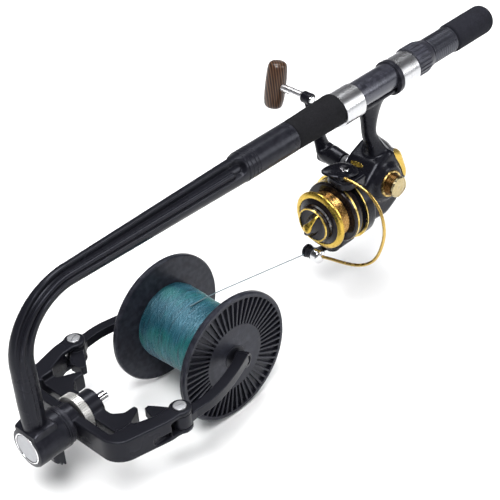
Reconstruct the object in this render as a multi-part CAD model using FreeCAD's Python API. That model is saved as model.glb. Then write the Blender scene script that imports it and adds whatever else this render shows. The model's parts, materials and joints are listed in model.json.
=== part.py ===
"""Fishing line winder: a rod handle with a spinning reel, and a swivelling bracket that holds a line spool.

Frame: the origin is on the rod's axis, at the middle of the rear grip. +X points to the butt, +Z is up,
and -Y is the side that the spool's ribbed flange faces. All lengths are in millimetres.
"""
import FreeCAD, Part
import math
import os

from FreeCAD import Vector

X = Vector(1, 0, 0)
Y = Vector(0, 1, 0)
Z = Vector(0, 0, 1)

# ------------------------------------------------------------------ driving dimensions
# Clearances
running_clearance = 0.06        # radial, between a shaft and its bore
free_gap = 0.35                 # between faces that move past each other
wall = 2.4                      # moulded and cast walls

# Rod handle, from the butt forwards
rear_grip_length = 43.5
rear_grip_diameter = 22.4
rear_grip_end_radius = 6.5
butt_cap_diameter = 11.0
butt_cap_thickness = 2.0
exposed_thread_length = 29.0
thread_pitch = 2.5
thread_depth = 0.9
lock_nut_length = 19.0
lock_nut_wall = 2.3             # lock nut outside the tube's thread
lock_nut_rib_count = 24
sliding_hood_length = 22.0
hood_wall = 2.4                 # hoods outside the tube
hood_drop = 1.8                 # how far the hoods hang below the tube's axis
hood_lip_length = 3.6
seat_opening = 38.2             # bare tube between the two hoods
fixed_hood_length = 19.4
fore_grip_length = 45.9
fore_grip_front_diameter = 22.0
fore_grip_rear_diameter = 24.4
seat_tube_diameter = 20.4
lock_nut_diameter = seat_tube_diameter + 2 * lock_nut_wall
hood_diameter = seat_tube_diameter + 2 * hood_wall
blank_diameter = 16.5
blank_wall = 2.0
tenon_length = 37.0

# Curved arm
arm_reach = 241.6               # socket end to the column's centre line
arm_drop = 107.2                # rod axis down to the stud's axis
bend_radius = 44.0
socket_length = 48.5
socket_diameter = 22.0
leg_start_height = 15.6         # section heights and widths of the arm
leg_start_width = 14.8
column_thickness = 16.4
column_width = 14.8
channel_depth = 3.4
channel_width = 11.0
channel_rib_width = 4.4
channel_end_gap = 13.0
channel_angle = 42.0            # degrees from the side towards the top

# Hub, stud and clamp
hub_length = 27.0
hub_setback = 8.9               # column's centre line to the hub's outer face
hub_diameter = 28.6
hub_tab_length = 9.0
hub_tab_width = 12.0
hub_tab_thickness = 4.6
hub_tab_setback = 5.0
end_cap_diameter = 22.6
end_cap_thickness = 2.0
stud_diameter = 8.0
stud_head_diameter = 15.0
stud_head_thickness = 5.5
stud_overhang = 9.6
washer_diameter = 27.0
washer_thickness = 2.4
wheel_diameter = 30.2
wheel_thickness = 5.8
wheel_tooth_count = 60
wheel_tooth_depth = 0.5

# Bracket
bracket_thickness = 17.0
bracket_middle = -1.0           # height of its middle plane above the stud's axis
bracket_width = 97.0
pivot_span = 105.0
pivot_reach = 54.25             # clamp face to the pivots
outer_bar = 6.6
inner_bar = 10.0
inner_bar_drop = 4.6            # inner bar's top below the outer bar's
boss_diameter = 23.4
outer_boss_step = 1.6
inner_boss_diameter = 21.6
inner_boss_step = 2.0
slot_half_length = 38.0
leg_width = 10.0
corner_radius = 16.0
cheek_thickness = 3.1
pivot_boss_diameter = 15.0
pin_diameter = 5.0
pin_head_diameter = 9.0
pin_head_height = 1.6

# Fingers
finger_reach = 66.0             # pivot to the line spool's axis, along X
finger_width = 7.6
finger_height = 6.8
finger_bow = 2.4                # how far the finger's middle line stands outside its pivot
tip_boss_diameter = 10.8
tip_boss_length = 6.8
tip_boss_gap = 1.2              # tip boss to the line spool
tip_lean = 20.0                 # degrees between the tip boss and the spool's axis
tip_pin_diameter = 3.6
cone_length = 9.0
cone_back = 0.3                 # cone's back face outside the line spool
cone_half_angle = 20.0
spring_wire = 1.0
spring_turns = 3

# Line spool
spool_axis_height = -4.0        # above the stud's axis
flange_diameter = 95.2
flange_thickness = 4.4
spool_width = 70.8
spool_bore = 18.0
core_diameter = 28.0
fin_count = 54
fin_width = 1.3
fin_depth = 2.2
fin_inner_diameter = 49.5
fin_outer_diameter = 88.5
line_far_diameter = 57.0
line_near_diameter = 52.0
strand_diameter = 0.8

# Reel, placed from its foot: u along X from the crank's axis, w up from the rotor's axis
rod_to_reel = 83.4              # rod axis down to the rotor's axis
crank_offset = 8.0              # crank axis above the rotor's axis
foot_tuck = 9.0                 # length of foot inside each hood
foot_width = 16.0
foot_thickness = 2.6
body_half_width = 13.0
side_cap_diameter = 16.4
front_ring_back = -22.0         # back of the ring at the body's front, from the crank
spool_lip_diameter = 45.4
arbor_diameter = 36.0
skirt_diameter = 47.6
main_shaft_diameter = 5.0
rotor_diameter = 51.0
rotor_arm_inner = 27.4          # radii of the rotor's arms
rotor_arm_outer = 33.0
rotor_arm_width = 21.0
rotor_phase = 12.0              # degrees that the arms lean from the vertical
bail_pivot_u = -39.8
bail_pin_diameter = 4.0
bail_wire_diameter = 2.4
roller_diameter = 9.4
roller_length = 5.0
guide_diameter = 11.0            # bright end of the bail wire, beside the roller
drive_gear_diameter = 30.0
drive_gear_teeth = 47
pinion_teeth = 9
pinion_diameter = 8.4
drive_shaft_diameter = 7.0
drag_knob_diameter = 29.6
lip_inner_diameter = 36.8       # where the lip's front meets the dark collar inside it

# Crank
crank_plane = 53.0              # middle of the crank arm's outer end, along Y
crank_root_plane = 48.0         # and of its inner end
crank_arm_thickness = 5.6
crank_hub_diameter = 13.0
crank_radius = 52.6
crank_lean = 10.6               # degrees from the vertical, towards the spool
joint_diameter = 9.0
knob_shaft_diameter = 6.0
knob_shaft_shown = 21.0
knob_length = 36.2
knob_diameter = 16.2
knob_lean = 14.0

# ------------------------------------------------------------------ stations worked out from them
rear_grip_back = rear_grip_length / 2
rear_grip_front = -rear_grip_length / 2
nut_back = rear_grip_front - exposed_thread_length
nut_front = nut_back - lock_nut_length
sliding_hood_front = nut_front - sliding_hood_length
fixed_hood_back = sliding_hood_front - seat_opening
fixed_hood_front = fixed_hood_back - fixed_hood_length
socket_end = fixed_hood_front - fore_grip_length
tube_radius = seat_tube_diameter / 2
blank_radius = blank_diameter / 2
hood_radius = hood_diameter / 2

column_x = socket_end - arm_reach
stud_z = -arm_drop
hub_back = column_x - hub_setback
hub_front = hub_back + hub_length
hub_radius = hub_diameter / 2
stud_radius = stud_diameter / 2
clamp_face = hub_front + washer_thickness + free_gap
pivot_x = clamp_face + pivot_reach
outer_bar_front = clamp_face + outer_boss_step
slot_front = outer_bar_front + outer_bar
slot_back = slot_front + wheel_thickness + 2 * free_gap
inner_bar_back = slot_back + inner_bar
inner_boss_back = inner_bar_back + inner_boss_step
stud_end = inner_boss_back + stud_overhang
bracket_low = stud_z + bracket_middle - bracket_thickness / 2
bracket_high = bracket_low + bracket_thickness
pivot_y = pivot_span / 2
finger_low = bracket_low + cheek_thickness + free_gap
finger_high = bracket_high - cheek_thickness - free_gap
spool_x = pivot_x + finger_reach
spool_z = stud_z + spool_axis_height
spool_half = spool_width / 2
flange_inner = spool_half - flange_thickness

seat_middle = (fixed_hood_back + sliding_hood_front) / 2
reel_z = -rod_to_reel
crank_z = reel_z + crank_offset


# ------------------------------------------------------------------ shape helpers
def rod_x(start, end, radius, y=0.0, z=0.0):
    """A cylinder along X."""
    return Part.makeCylinder(radius, end - start, Vector(start, y, z), X)


def rod_y(start, end, radius, x=0.0, z=0.0):
    """A cylinder along Y."""
    return Part.makeCylinder(radius, end - start, Vector(x, start, z), Y)


def rod_z(start, end, radius, x=0.0, y=0.0):
    """A cylinder along Z."""
    return Part.makeCylinder(radius, end - start, Vector(x, y, start), Z)


def box(low, high):
    """A box from its lowest to its highest corner."""
    return Part.makeBox(high[0] - low[0], high[1] - low[1], high[2] - low[2], Vector(*low))


def turned(profile, origin, along):
    """A closed profile of (distance along the axis, radius) points, turned about the axis."""
    side = Z if along != Z else X
    points = [origin + along * a + side * r for a, r in profile]
    face = Part.Face(Part.makePolygon(points + points[:1]))
    return face.revolve(origin, along, 360)


def rounded_wire(corners, place):
    """A closed wire through (a, b) or (a, b, radius) corners, where place(a, b) gives the 3-D point."""
    count = len(corners)
    starts, ends, arcs = [], [], []
    for i, corner in enumerate(corners):
        here = place(corner[0], corner[1])
        before = place(*corners[i - 1][:2]) - here
        after = place(*corners[(i + 1) % count][:2]) - here
        radius = corner[2] if len(corner) > 2 else 0.0
        if radius == 0.0:
            starts.append(here)
            ends.append(here)
            arcs.append(None)
            continue
        half = before.getAngle(after) / 2
        reach = radius / math.tan(half)
        before.normalize()
        after.normalize()
        centre = here + (before + after).normalize() * (radius / math.sin(half))
        start = here + before * reach
        end = here + after * reach
        middle = centre + (here - centre).normalize() * radius
        starts.append(start)
        ends.append(end)
        arcs.append(Part.Arc(start, middle, end).toShape())
    edges = []
    for i in range(count):
        if arcs[i]:
            edges.append(arcs[i])
        following = starts[(i + 1) % count]
        if ends[i].distanceToPoint(following) > 1e-6:
            edges.append(Part.LineSegment(ends[i], following).toShape())
    return Part.Wire(edges)


def plate_z(corners, low, high):
    """An outline in X and Y, extruded along Z."""
    wire = rounded_wire(corners, lambda a, b: Vector(a, b, low))
    return Part.Face(wire).extrude(Z * (high - low))


def plate_y(corners, low, high):
    """An outline in X and Z, extruded along Y."""
    wire = rounded_wire(corners, lambda a, b: Vector(a, low, b))
    return Part.Face(wire).extrude(Y * (high - low))


def ellipse_wire(centre, first, second, a, b):
    """An ellipse with half-axes a along first and b along second."""
    if abs(a - b) < 1e-6:
        b = a - 1e-4
    if a >= b:
        curve = Part.Ellipse(centre + first * a, centre + second * b, centre)
    else:
        curve = Part.Ellipse(centre + second * b, centre - first * a, centre)
    return Part.Wire(curve.toShape())


def limb(stations, ruled=False):
    """A solid lofted through ellipses given as (centre, first, second, a, b)."""
    return Part.makeLoft([ellipse_wire(*station) for station in stations], True, ruled)


def fused(shapes):
    """One clean solid from overlapping ones."""
    return shapes[0].multiFuse(shapes[1:]).removeSplitter()


def around_x(shape, degrees, z):
    """A copy turned about an axis along X at height z."""
    copy = shape.copy()
    copy.rotate(Vector(0, 0, z), X, degrees)
    return copy


def mirrored_y(shape):
    """A copy on the other side of the XZ plane."""
    return shape.mirror(Vector(0, 0, 0), Y)


def ribbed_ring(start, end, outer, inner, count, depth, z=0.0):
    """A ring along X whose outside has straight ribs."""
    points = []
    for i in range(count):
        for share, radius in ((0.0, outer), (0.5, outer), (0.6, outer - depth), (0.9, outer - depth)):
            angle = 2 * math.pi * (i + share) / count
            points.append(Vector(start, radius * math.cos(angle), z + radius * math.sin(angle)))
    blank = Part.Face(Part.makePolygon(points + points[:1])).extrude(X * (end - start))
    return blank.cut(rod_x(start - 1, end + 1, inner, 0, z))


# ------------------------------------------------------------------ rod handle
def rod_handle():
    """The blank, grips, reel seat, hoods and lock nut, all about the X axis."""
    blank_front = socket_end - tenon_length
    blank_back = rear_grip_back - butt_cap_thickness
    blank = rod_x(blank_front, blank_back, blank_radius)
    blank = blank.cut(rod_x(blank_front - 1, blank_back + 1, blank_radius - blank_wall))

    grip_radius = rear_grip_diameter / 2
    end_radius = rear_grip_end_radius
    cap_radius = butt_cap_diameter / 2
    slope = (grip_radius - cap_radius) / end_radius
    rounding = [
        (rear_grip_back - end_radius * (1 - math.sin(t)), cap_radius + slope * end_radius * math.cos(t))
        for t in [math.radians(15 * step) for step in range(7)]
    ]
    profile = [(rear_grip_front, 0), (rear_grip_front, grip_radius - 0.8), (rear_grip_front + 0.8, grip_radius)]
    rear_grip = turned(profile + rounding + [(rear_grip_back, 0)], Vector(0, 0, 0), X)
    rear_grip = rear_grip.cut(rod_x(rear_grip_front - 1, blank_back, blank_radius))
    rear_grip = rear_grip.cut(rod_x(blank_back - 1, rear_grip_back + 1, cap_radius))
    butt_cap = rod_x(blank_back, rear_grip_back, cap_radius)

    front_radius = fore_grip_front_diameter / 2
    rear_radius = fore_grip_rear_diameter / 2
    fore_grip = turned([
        (socket_end, blank_radius), (socket_end, front_radius - 0.6), (socket_end + 0.6, front_radius),
        (fixed_hood_front - 1.2, rear_radius), (fixed_hood_front, rear_radius - 1.2),
        (fixed_hood_front, blank_radius)], Vector(0, 0, 0), X)

    thread_start = sliding_hood_front + hood_lip_length
    ridge_count = int((rear_grip_front - thread_start) / thread_pitch)
    tube = [(fixed_hood_front, blank_radius), (fixed_hood_front, tube_radius), (thread_start, tube_radius)]
    for ridge in range(ridge_count):
        base = thread_start + ridge * thread_pitch
        tube += [(base + 0.25 * thread_pitch, tube_radius - thread_depth),
                 (base + 0.45 * thread_pitch, tube_radius - thread_depth),
                 (base + 0.70 * thread_pitch, tube_radius),
                 (base + 0.95 * thread_pitch, tube_radius)]
    tube += [(rear_grip_front, tube_radius - thread_depth), (rear_grip_front, blank_radius)]
    seat_tube = turned(tube, Vector(0, 0, 0), X)

    pocket = foot_pocket(fixed_hood_back - foot_tuck - 1.0, sliding_hood_front + foot_tuck + 1.0)
    fixed_hood = rod_x(fixed_hood_front, fixed_hood_back, hood_radius, 0, -hood_drop)
    fixed_hood = fixed_hood.cut(rod_x(fixed_hood_front - 1, fixed_hood_back + 1, tube_radius)).cut(pocket)

    lip_back = sliding_hood_front + hood_lip_length
    hood_bore = tube_radius + running_clearance
    sliding_hood = rod_x(lip_back, nut_front - free_gap, hood_radius, 0, -hood_drop)
    sliding_hood = sliding_hood.cut(rod_x(lip_back - 1, nut_front + 1, hood_bore)).cut(pocket)
    hood_lip = rod_x(sliding_hood_front, lip_back, hood_radius + 0.5, 0, -hood_drop)
    hood_lip = hood_lip.cut(rod_x(sliding_hood_front - 1, lip_back + 1, hood_bore)).cut(pocket)

    nut_radius = lock_nut_diameter / 2
    nut = ribbed_ring(nut_front, nut_back, nut_radius, hood_bore, lock_nut_rib_count, 0.7)
    cone = turned([
        (nut_front, 0), (nut_front, nut_radius), (nut_back - 7, nut_radius), (nut_back, nut_radius - 1.7),
        (nut_back, 0)], Vector(0, 0, 0), X)
    nut = nut.common(cone)

    return {"handle_blank": blank, "rear_grip": rear_grip, "butt_cap": butt_cap, "fore_grip": fore_grip,
            "seat_tube": seat_tube, "fixed_hood": fixed_hood, "sliding_hood": sliding_hood,
            "hood_lip": hood_lip, "lock_nut": nut}


def foot_sector(start, end, inner, outer, half_width):
    """The part of a ring about the X axis that lies below it and within half_width of the middle."""
    ring = rod_x(start, end, outer).cut(rod_x(start - 1, end + 1, inner))
    return ring.common(box((start, -half_width, -outer - 1), (end, half_width, 0)))


def foot_pocket(start, end):
    """The room that the reel's foot needs inside the hoods."""
    return foot_sector(start, end, tube_radius - 0.5, tube_radius + foot_thickness + 0.5, foot_width / 2 + 0.6)


# ------------------------------------------------------------------ curved arm, hub and stud
def arm_stations():
    """Centre, outward direction, thickness and width at stations from the hub to the socket."""
    bend_x = column_x + bend_radius
    bend_z = -bend_radius
    stations = []
    column = arm_drop - bend_radius
    for share, fuller in ((0.06, -1.0), (0.30, -0.3), (0.55, 0.3), (0.80, 0.3), (1.0, 0.0)):
        stations.append((Vector(column_x, 0, stud_z + column * share), -X,
                         column_thickness + fuller, column_width + fuller))
    for step in range(1, 7):
        angle = math.radians(15 * step)
        outward = Vector(-math.cos(angle), 0, math.sin(angle))
        share = step / 6
        thickness = column_thickness + (leg_start_height - column_thickness) * share
        width = column_width + (leg_start_width - column_width) * share
        stations.append((Vector(bend_x, 0, bend_z) + outward * bend_radius, outward, thickness, width))
    stations.append((Vector(socket_end - socket_length + 2.0, 0, 0), Z, socket_diameter - 0.5, socket_diameter - 0.8))
    return stations


def channel(stations, side, wide, deep, sunk):
    """A straight run along one side of the leg, wide and deep, its middle sunk below the surface."""
    lean = math.radians(channel_angle)
    facing = Y * (-side * math.cos(lean)) + Z * math.sin(lean)
    along = Z * math.cos(lean) + Y * (side * math.sin(lean))
    first, last = stations[-2], stations[-1]
    sections = []
    for x in (first[0].x + channel_end_gap, last[0].x - channel_end_gap / 2):
        share = (x - first[0].x) / (last[0].x - first[0].x)
        thickness = first[2] + (last[2] - first[2]) * share
        width = first[3] + (last[3] - first[3]) * share
        surface = thickness * width / 2 / math.hypot(thickness * math.cos(lean), width * math.sin(lean))
        half = wide * (thickness + width) / (4 * socket_diameter)
        sections.append((Vector(x, 0, 0) + facing * (surface - sunk), along, facing, half, deep))
    return limb(sections, ruled=True)


def curved_arm():
    """The arm with its hub, its socket for the rod handle, and a ribbed channel along each side."""
    stations = arm_stations()
    bend = limb([(c, out, Y, t / 2, w / 2) for c, out, t, w in stations[:-1]])
    leg = limb([(c, out, Y, t / 2, w / 2) for c, out, t, w in stations[-2:]], ruled=True)
    for side in (1, -1):
        leg = leg.cut(channel(stations, side, channel_width, channel_depth, 0.0))
        leg = leg.fuse(channel(stations, side, channel_rib_width, channel_depth * 0.62, channel_depth))
    socket_start = socket_end - socket_length
    socket_radius = socket_diameter / 2
    socket = turned([
        (socket_start - 0.5, 0), (socket_start - 0.5, socket_radius), (socket_start + 5, socket_radius),
        (socket_start + 5.3, socket_radius - 0.3), (socket_start + 5.9, socket_radius - 0.3),
        (socket_start + 6.2, socket_radius), (socket_start + 8.4, socket_radius),
        (socket_start + 8.7, socket_radius - 0.3), (socket_start + 9.3, socket_radius - 0.3),
        (socket_start + 9.6, socket_radius), (socket_end - 0.5, socket_radius),
        (socket_end, socket_radius - 0.5), (socket_end, 0)], Vector(0, 0, 0), X)
    hub = rod_x(hub_back, hub_front, hub_radius, 0, stud_z)
    tab_front = hub_front - hub_tab_setback
    tab = box((tab_front - hub_tab_thickness, -hub_tab_width / 2, stud_z - hub_radius - hub_tab_length),
              (tab_front, hub_tab_width / 2, stud_z - hub_radius + 3))
    shoulder = box((hub_back, -hub_radius * 0.72, stud_z + hub_radius * 0.55),
                   (hub_back + column_thickness + 3, hub_radius * 0.72, stud_z + hub_radius - 0.6))
    arm = fused([bend, leg, socket, hub, tab, shoulder])

    arm = arm.cut(rod_x(socket_end - tenon_length, socket_end + 1, blank_radius))
    arm = arm.cut(rod_x(hub_back - 1, hub_back + end_cap_thickness, end_cap_diameter / 2, 0, stud_z))
    arm = arm.cut(rod_x(hub_back, hub_back + end_cap_thickness + stud_head_thickness,
                        stud_head_diameter / 2, 0, stud_z))
    arm = arm.cut(rod_x(hub_back, hub_front + 1, stud_radius, 0, stud_z))
    return arm.removeSplitter()


def hub_parts():
    """The arm's end cap, the stud through the hub, the washer and the thumb wheel."""
    head_start = hub_back + end_cap_thickness
    head_end = head_start + stud_head_thickness
    cap = rod_x(hub_back - 0.4, head_start, end_cap_diameter / 2, 0, stud_z)
    stud = turned([
        (head_start, 0), (head_start, stud_head_diameter / 2), (head_end, stud_head_diameter / 2),
        (head_end, stud_radius), (stud_end - 1, stud_radius), (stud_end, stud_radius - 1),
        (stud_end, 0)], Vector(0, 0, stud_z), X)
    bore = stud_radius + running_clearance
    washer = rod_x(hub_front, hub_front + washer_thickness, washer_diameter / 2, 0, stud_z)
    washer = washer.cut(rod_x(hub_front - 1, clamp_face, bore, 0, stud_z))
    wheel = ribbed_ring(slot_front + free_gap, slot_back - free_gap, wheel_diameter / 2, bore,
                        wheel_tooth_count, wheel_tooth_depth, stud_z)
    return {"hub_end_cap": cap, "clamp_stud": stud, "swivel_washer": washer, "thumb_wheel": wheel}


# ------------------------------------------------------------------ bracket and fingers
def bracket():
    """The moulded frame: two bars, two legs with forked ends, and the stops for the fingers."""
    half = bracket_width / 2
    fork = pivot_x - 12.5
    outer = pivot_y + leg_width / 2
    leg_back = pivot_x - 14.0
    inner = outer - leg_width
    frame = plate_z([
        (outer_bar_front, -half, corner_radius), (outer_bar_front, half, corner_radius),
        (leg_back, outer, 30.0), (pivot_x, outer + 1.0), (pivot_x, pivot_y - 5.5),
        (leg_back, inner - 0.6, 2.0), (inner_bar_back, inner - 6.4, 3.0),
        (inner_bar_back, 36.0), (inner_bar_back + 9.0, 31.5, 2.0), (inner_bar_back + 14.5, 28.6, 1.2),
        (inner_bar_back + 14.5, 25.0, 1.2), (inner_bar_back + 6.0, 24.6, 3.0), (inner_bar_back, 19.0, 5.0),
        (inner_bar_back, -19.0, 5.0), (inner_bar_back + 6.0, -24.6, 3.0), (inner_bar_back + 14.5, -25.0, 1.2),
        (inner_bar_back + 14.5, -28.6, 1.2), (inner_bar_back + 9.0, -31.5, 2.0), (inner_bar_back, -36.0),
        (inner_bar_back, 6.4 - inner, 3.0), (leg_back, 0.6 - inner, 2.0),
        (pivot_x, 5.5 - pivot_y), (pivot_x, -outer - 1.0), (leg_back, -outer, 30.0)],
        bracket_low, bracket_high)
    bosses = [rod_x(clamp_face, slot_front, boss_diameter / 2, 0, stud_z),
              rod_x(slot_back, inner_boss_back, inner_boss_diameter / 2, 0, stud_z)]
    for side in (1, -1):
        bosses.append(rod_z(bracket_low, bracket_high, pivot_boss_diameter / 2, pivot_x, side * pivot_y))
    lowered = box((slot_back, -39.0, bracket_high - inner_bar_drop), (pivot_x, 39.0, bracket_high + 1))
    frame = fused([frame.cut(lowered)] + bosses)

    slot = plate_z([
        (slot_front, -slot_half_length, 3.0), (slot_front, slot_half_length, 3.0),
        (slot_back, slot_half_length, 3.0), (slot_back, -slot_half_length, 3.0)],
        bracket_low - 10, bracket_high + 10)
    frame = frame.cut(slot)
    frame = frame.cut(rod_x(clamp_face - 1, inner_boss_back + 1, stud_radius + running_clearance, 0, stud_z))
    for side in (1, -1):
        y = side * pivot_y
        low_y, high_y = sorted((y - side * 16, y + side * 16))
        frame = frame.cut(box((fork, low_y, finger_low - free_gap), (pivot_x + 20, high_y, finger_high + free_gap)))
        frame = frame.cut(rod_z(bracket_low - 1, bracket_high + 1, pin_diameter / 2, pivot_x, y))
        low_y, high_y = sorted((side * (outer - 3.6), side * (outer + 4)))
        frame = frame.cut(box((fork - 13, low_y, bracket_low + 2.4), (fork - 0.5, high_y, bracket_low + 7.4)))
    return frame


def finger_course():
    """Points on the right-hand finger's middle line, from its pivot to its tip boss, in X and Y."""
    x, y = pivot_x, pivot_y
    tip = tip_middle()
    bow = y + finger_bow
    return [(x + 8.0, bow - 0.6), (x + 16.0, bow), (x + 25.0, bow - 0.1), (x + 0.53 * finger_reach, bow - 1.9),
            (x + 0.72 * finger_reach, (bow + tip.y) / 2 + 0.6), (tip.x - 6.0, tip.y + 0.8), (tip.x - 0.4, tip.y - 1.6)]


def tip_direction():
    """Outwards along the right-hand tip boss."""
    lean = math.radians(tip_lean)
    return Vector(math.sin(lean), math.cos(lean), 0)


def tip_middle():
    """The middle of the right-hand tip boss's outer face."""
    base = Vector(pivot_x + finger_reach, spool_half, spool_z)
    return base + tip_direction() * (tip_boss_gap + tip_boss_length)


def finger():
    """The right-hand finger, at +Y, with its knuckle, its stop tail and its tip boss."""
    z0, z1 = finger_low, finger_high
    x, y = pivot_x, pivot_y
    middle_z = (z0 + z1) / 2 - 0.6
    course = finger_course()
    count = len(course)
    sides = {1: [], -1: []}
    for i, (px, py) in enumerate(course):
        before = course[max(i - 1, 0)]
        after = course[min(i + 1, count - 1)]
        heading = Vector(after[0] - before[0], after[1] - before[1], 0).normalize()
        for side in (1, -1):
            half = finger_width / 2
            sides[side].append(Vector(px - side * heading.y * half, py + side * heading.x * half,
                                      middle_z - finger_height / 2))
    outer = Part.BSplineCurve()
    outer.interpolate(sides[1])
    inner = Part.BSplineCurve()
    inner.interpolate(sides[-1])
    ends = [Part.LineSegment(sides[1][-1], sides[-1][-1]).toShape(),
            Part.LineSegment(sides[-1][0], sides[1][0]).toShape()]
    outline = Part.Wire(Part.__sortEdges__([outer.toShape(), inner.toShape()] + ends))
    blade = Part.Face(outline).extrude(Z * finger_height)
    neck = plate_z([
        (x - 2.0, y + 7.0), (x + 9.0, course[0][1] + finger_width / 2 + 0.1),
        (x + 9.0, course[0][1] - finger_width / 2 + 0.1), (x + 3.0, y - 6.4)],
        middle_z - finger_height / 2, middle_z + finger_height / 2)
    knuckle = rod_z(z0, z1, 7.2, x, y)
    tail = plate_z([
        (x - 5.0, y - 2.0), (x + 2.0, y - 6.0), (x - 5.5, y - 18.0, 1.5), (x - 8.5, y - 22.0, 1.0),
        (x - 12.0, y - 21.5, 1.2), (x - 14.0, y - 12.0, 1.5), (x - 11.5, y - 8.0, 1.5)],
        middle_z - finger_height / 2, middle_z + finger_height / 2)
    tip = tip_middle()
    boss = Part.makeCylinder(tip_boss_diameter / 2, tip_boss_length, tip, tip_direction() * -1)
    shape = fused([blade, neck, knuckle, tail, boss])
    shape = shape.cut(rod_z(z0 - 1, z1 + 1, pin_diameter / 2 + running_clearance, x, y))
    shape = shape.cut(rod_z(z0 + 2.6, z1 - 2.6, 5.2, x, y))
    shape = shape.cut(rod_y(spool_half - 4, spool_half + cone_back, spool_bore / 2 + 1, x + finger_reach, spool_z))
    return shape.cut(Part.makeCylinder(tip_pin_diameter / 2, 12.0, tip + tip_direction(), tip_direction() * -1))


def tip_cone():
    """The cone that carries the line spool at +Y, with its leaning pin through the finger's tip boss."""
    end = pivot_x + finger_reach
    seat = spool_bore / 2 - running_clearance
    slope = math.tan(math.radians(cone_half_angle))
    cone = turned([
        (spool_half + cone_back, 0), (spool_half + cone_back, seat - 0.6), (spool_half, seat),
        (spool_half - cone_length, seat - slope * cone_length), (spool_half - cone_length, 0)],
        Vector(end, 0, spool_z), Y)
    tip = tip_middle()
    pin = Part.makeCylinder(tip_pin_diameter / 2, tip_boss_length + tip_boss_gap + 1.0, tip - tip_direction(),
                            tip_direction() * -1)
    return fused([cone, pin])


def finger_spring():
    """The torsion spring round the right-hand pivot pin, inside the finger's knuckle."""
    radius = 3.9
    height = spring_turns * (spring_wire + 0.25)
    middle = (finger_low + finger_high) / 2
    helix = Part.makeHelix(spring_wire + 0.25, height, radius)
    section = Part.Wire(Part.Circle(Vector(radius, 0, 0), Y, spring_wire / 2).toShape())
    coil = Part.Wire(helix).makePipeShell([section], True, True)
    coil.translate(Vector(pivot_x, pivot_y, middle - height / 2))
    return coil


def pivot_pins():
    """The two pins of the fingers, with their round heads on the bracket."""
    pins = []
    for side in (1, -1):
        pins.append(turned([
            (bracket_low - 0.4, 0), (bracket_low - 0.4, pin_diameter / 2), (bracket_high, pin_diameter / 2),
            (bracket_high, pin_head_diameter / 2), (bracket_high + pin_head_height - 0.5, pin_head_diameter / 2),
            (bracket_high + pin_head_height, pin_head_diameter / 2 - 0.6),
            (bracket_high + pin_head_height, 0)], Vector(pivot_x, side * pivot_y, 0), Z))
    return Part.makeCompound(pins)


# ------------------------------------------------------------------ line spool and line
def line_spool():
    """Two flanges on a core, and the wound line between them."""
    radius = flange_diameter / 2
    bore = spool_bore / 2
    centre = Vector(spool_x, 0, spool_z)
    far = turned([
        (flange_inner, bore), (flange_inner, radius - 1), (flange_inner + 1, radius),
        (spool_half - 1, radius), (spool_half, radius - 1), (spool_half, bore)], centre, Y)
    near = mirrored_y(far)
    inner, outer = fin_inner_diameter / 2, fin_outer_diameter / 2
    pockets = rod_y(-spool_half - 1, -spool_half + fin_depth, outer, spool_x, spool_z)
    pockets = pockets.cut(rod_y(-spool_half - 2, -spool_half + fin_depth + 1, inner, spool_x, spool_z))
    fins = []
    for i in range(fin_count):
        fin = box((spool_x + inner - 1, -spool_half - 2, spool_z - fin_width / 2),
                  (spool_x + outer + 1, -spool_half + fin_depth + 1, spool_z + fin_width / 2))
        fin.rotate(centre, Y, 360.0 * i / fin_count)
        fins.append(fin)
    near = near.cut(pockets.cut(Part.makeCompound(fins)))
    core = rod_y(-flange_inner, flange_inner, core_diameter / 2, spool_x, spool_z)
    core = core.cut(rod_y(-flange_inner - 1, flange_inner + 1, bore, spool_x, spool_z))
    pack = turned([
        (-flange_inner, core_diameter / 2), (-flange_inner, line_near_diameter / 2),
        (flange_inner, line_far_diameter / 2), (flange_inner, core_diameter / 2)], centre, Y)
    return {"spool_near_flange": near, "spool_far_flange": far, "spool_core": core, "line_pack": pack}


# The taut strand's route: it lies on the wound line, leaves it and runs straight to the line roller.
strand_route = [
    Vector(spool_x - 4.0, 0.4, spool_z + 28.1), Vector(spool_x + 6.5, 0.9, spool_z + 27.7),
    Vector(spool_x + 64.0, 4.9, spool_z + 12.6), Vector(spool_x + 115.6, 8.4, spool_z - 1.0)]


def line_strand():
    """A tube along straight runs joined by tangent arcs."""
    edges = []
    here = strand_route[0]
    for i in range(1, len(strand_route) - 1):
        corner = strand_route[i]
        before = strand_route[i - 1] - corner
        after = strand_route[i + 1] - corner
        half_turn = (math.pi - before.getAngle(after)) / 2
        reach = 0.45 * min(before.Length, after.Length)
        radius = reach / math.tan(half_turn)
        before.normalize()
        after.normalize()
        start = corner + before * reach
        end = corner + after * reach
        towards = (before + after).normalize()
        middle = corner + towards * (radius / math.cos(half_turn) - radius)
        print("strand bend radius %.1f mm" % radius)
        edges.append(Part.LineSegment(here, start).toShape())
        edges.append(Part.Arc(start, middle, end).toShape())
        here = end
    edges.append(Part.LineSegment(here, strand_route[-1]).toShape())
    path = Part.Wire(edges)
    heading = strand_route[1] - strand_route[0]
    section = Part.Wire(Part.Circle(strand_route[0], heading, strand_diameter / 2).toShape())
    tube = path.makePipeShell([section], True, False)
    expected = path.Length * math.pi * (strand_diameter / 2) ** 2
    print("strand %.1f mm long, volume ratio %.4f" % (path.Length, tube.Volume / expected))
    return tube


# ------------------------------------------------------------------ reel
def at_reel(u, v, w):
    """A point given from the crank's axis along X, the middle plane, and the rotor's axis."""
    return Vector(seat_middle + u, v, reel_z + w)


def reel_ring(profile):
    """A profile of (u, radius) points turned about the rotor's axis."""
    return turned(profile, at_reel(0, 0, 0), X)


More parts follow.
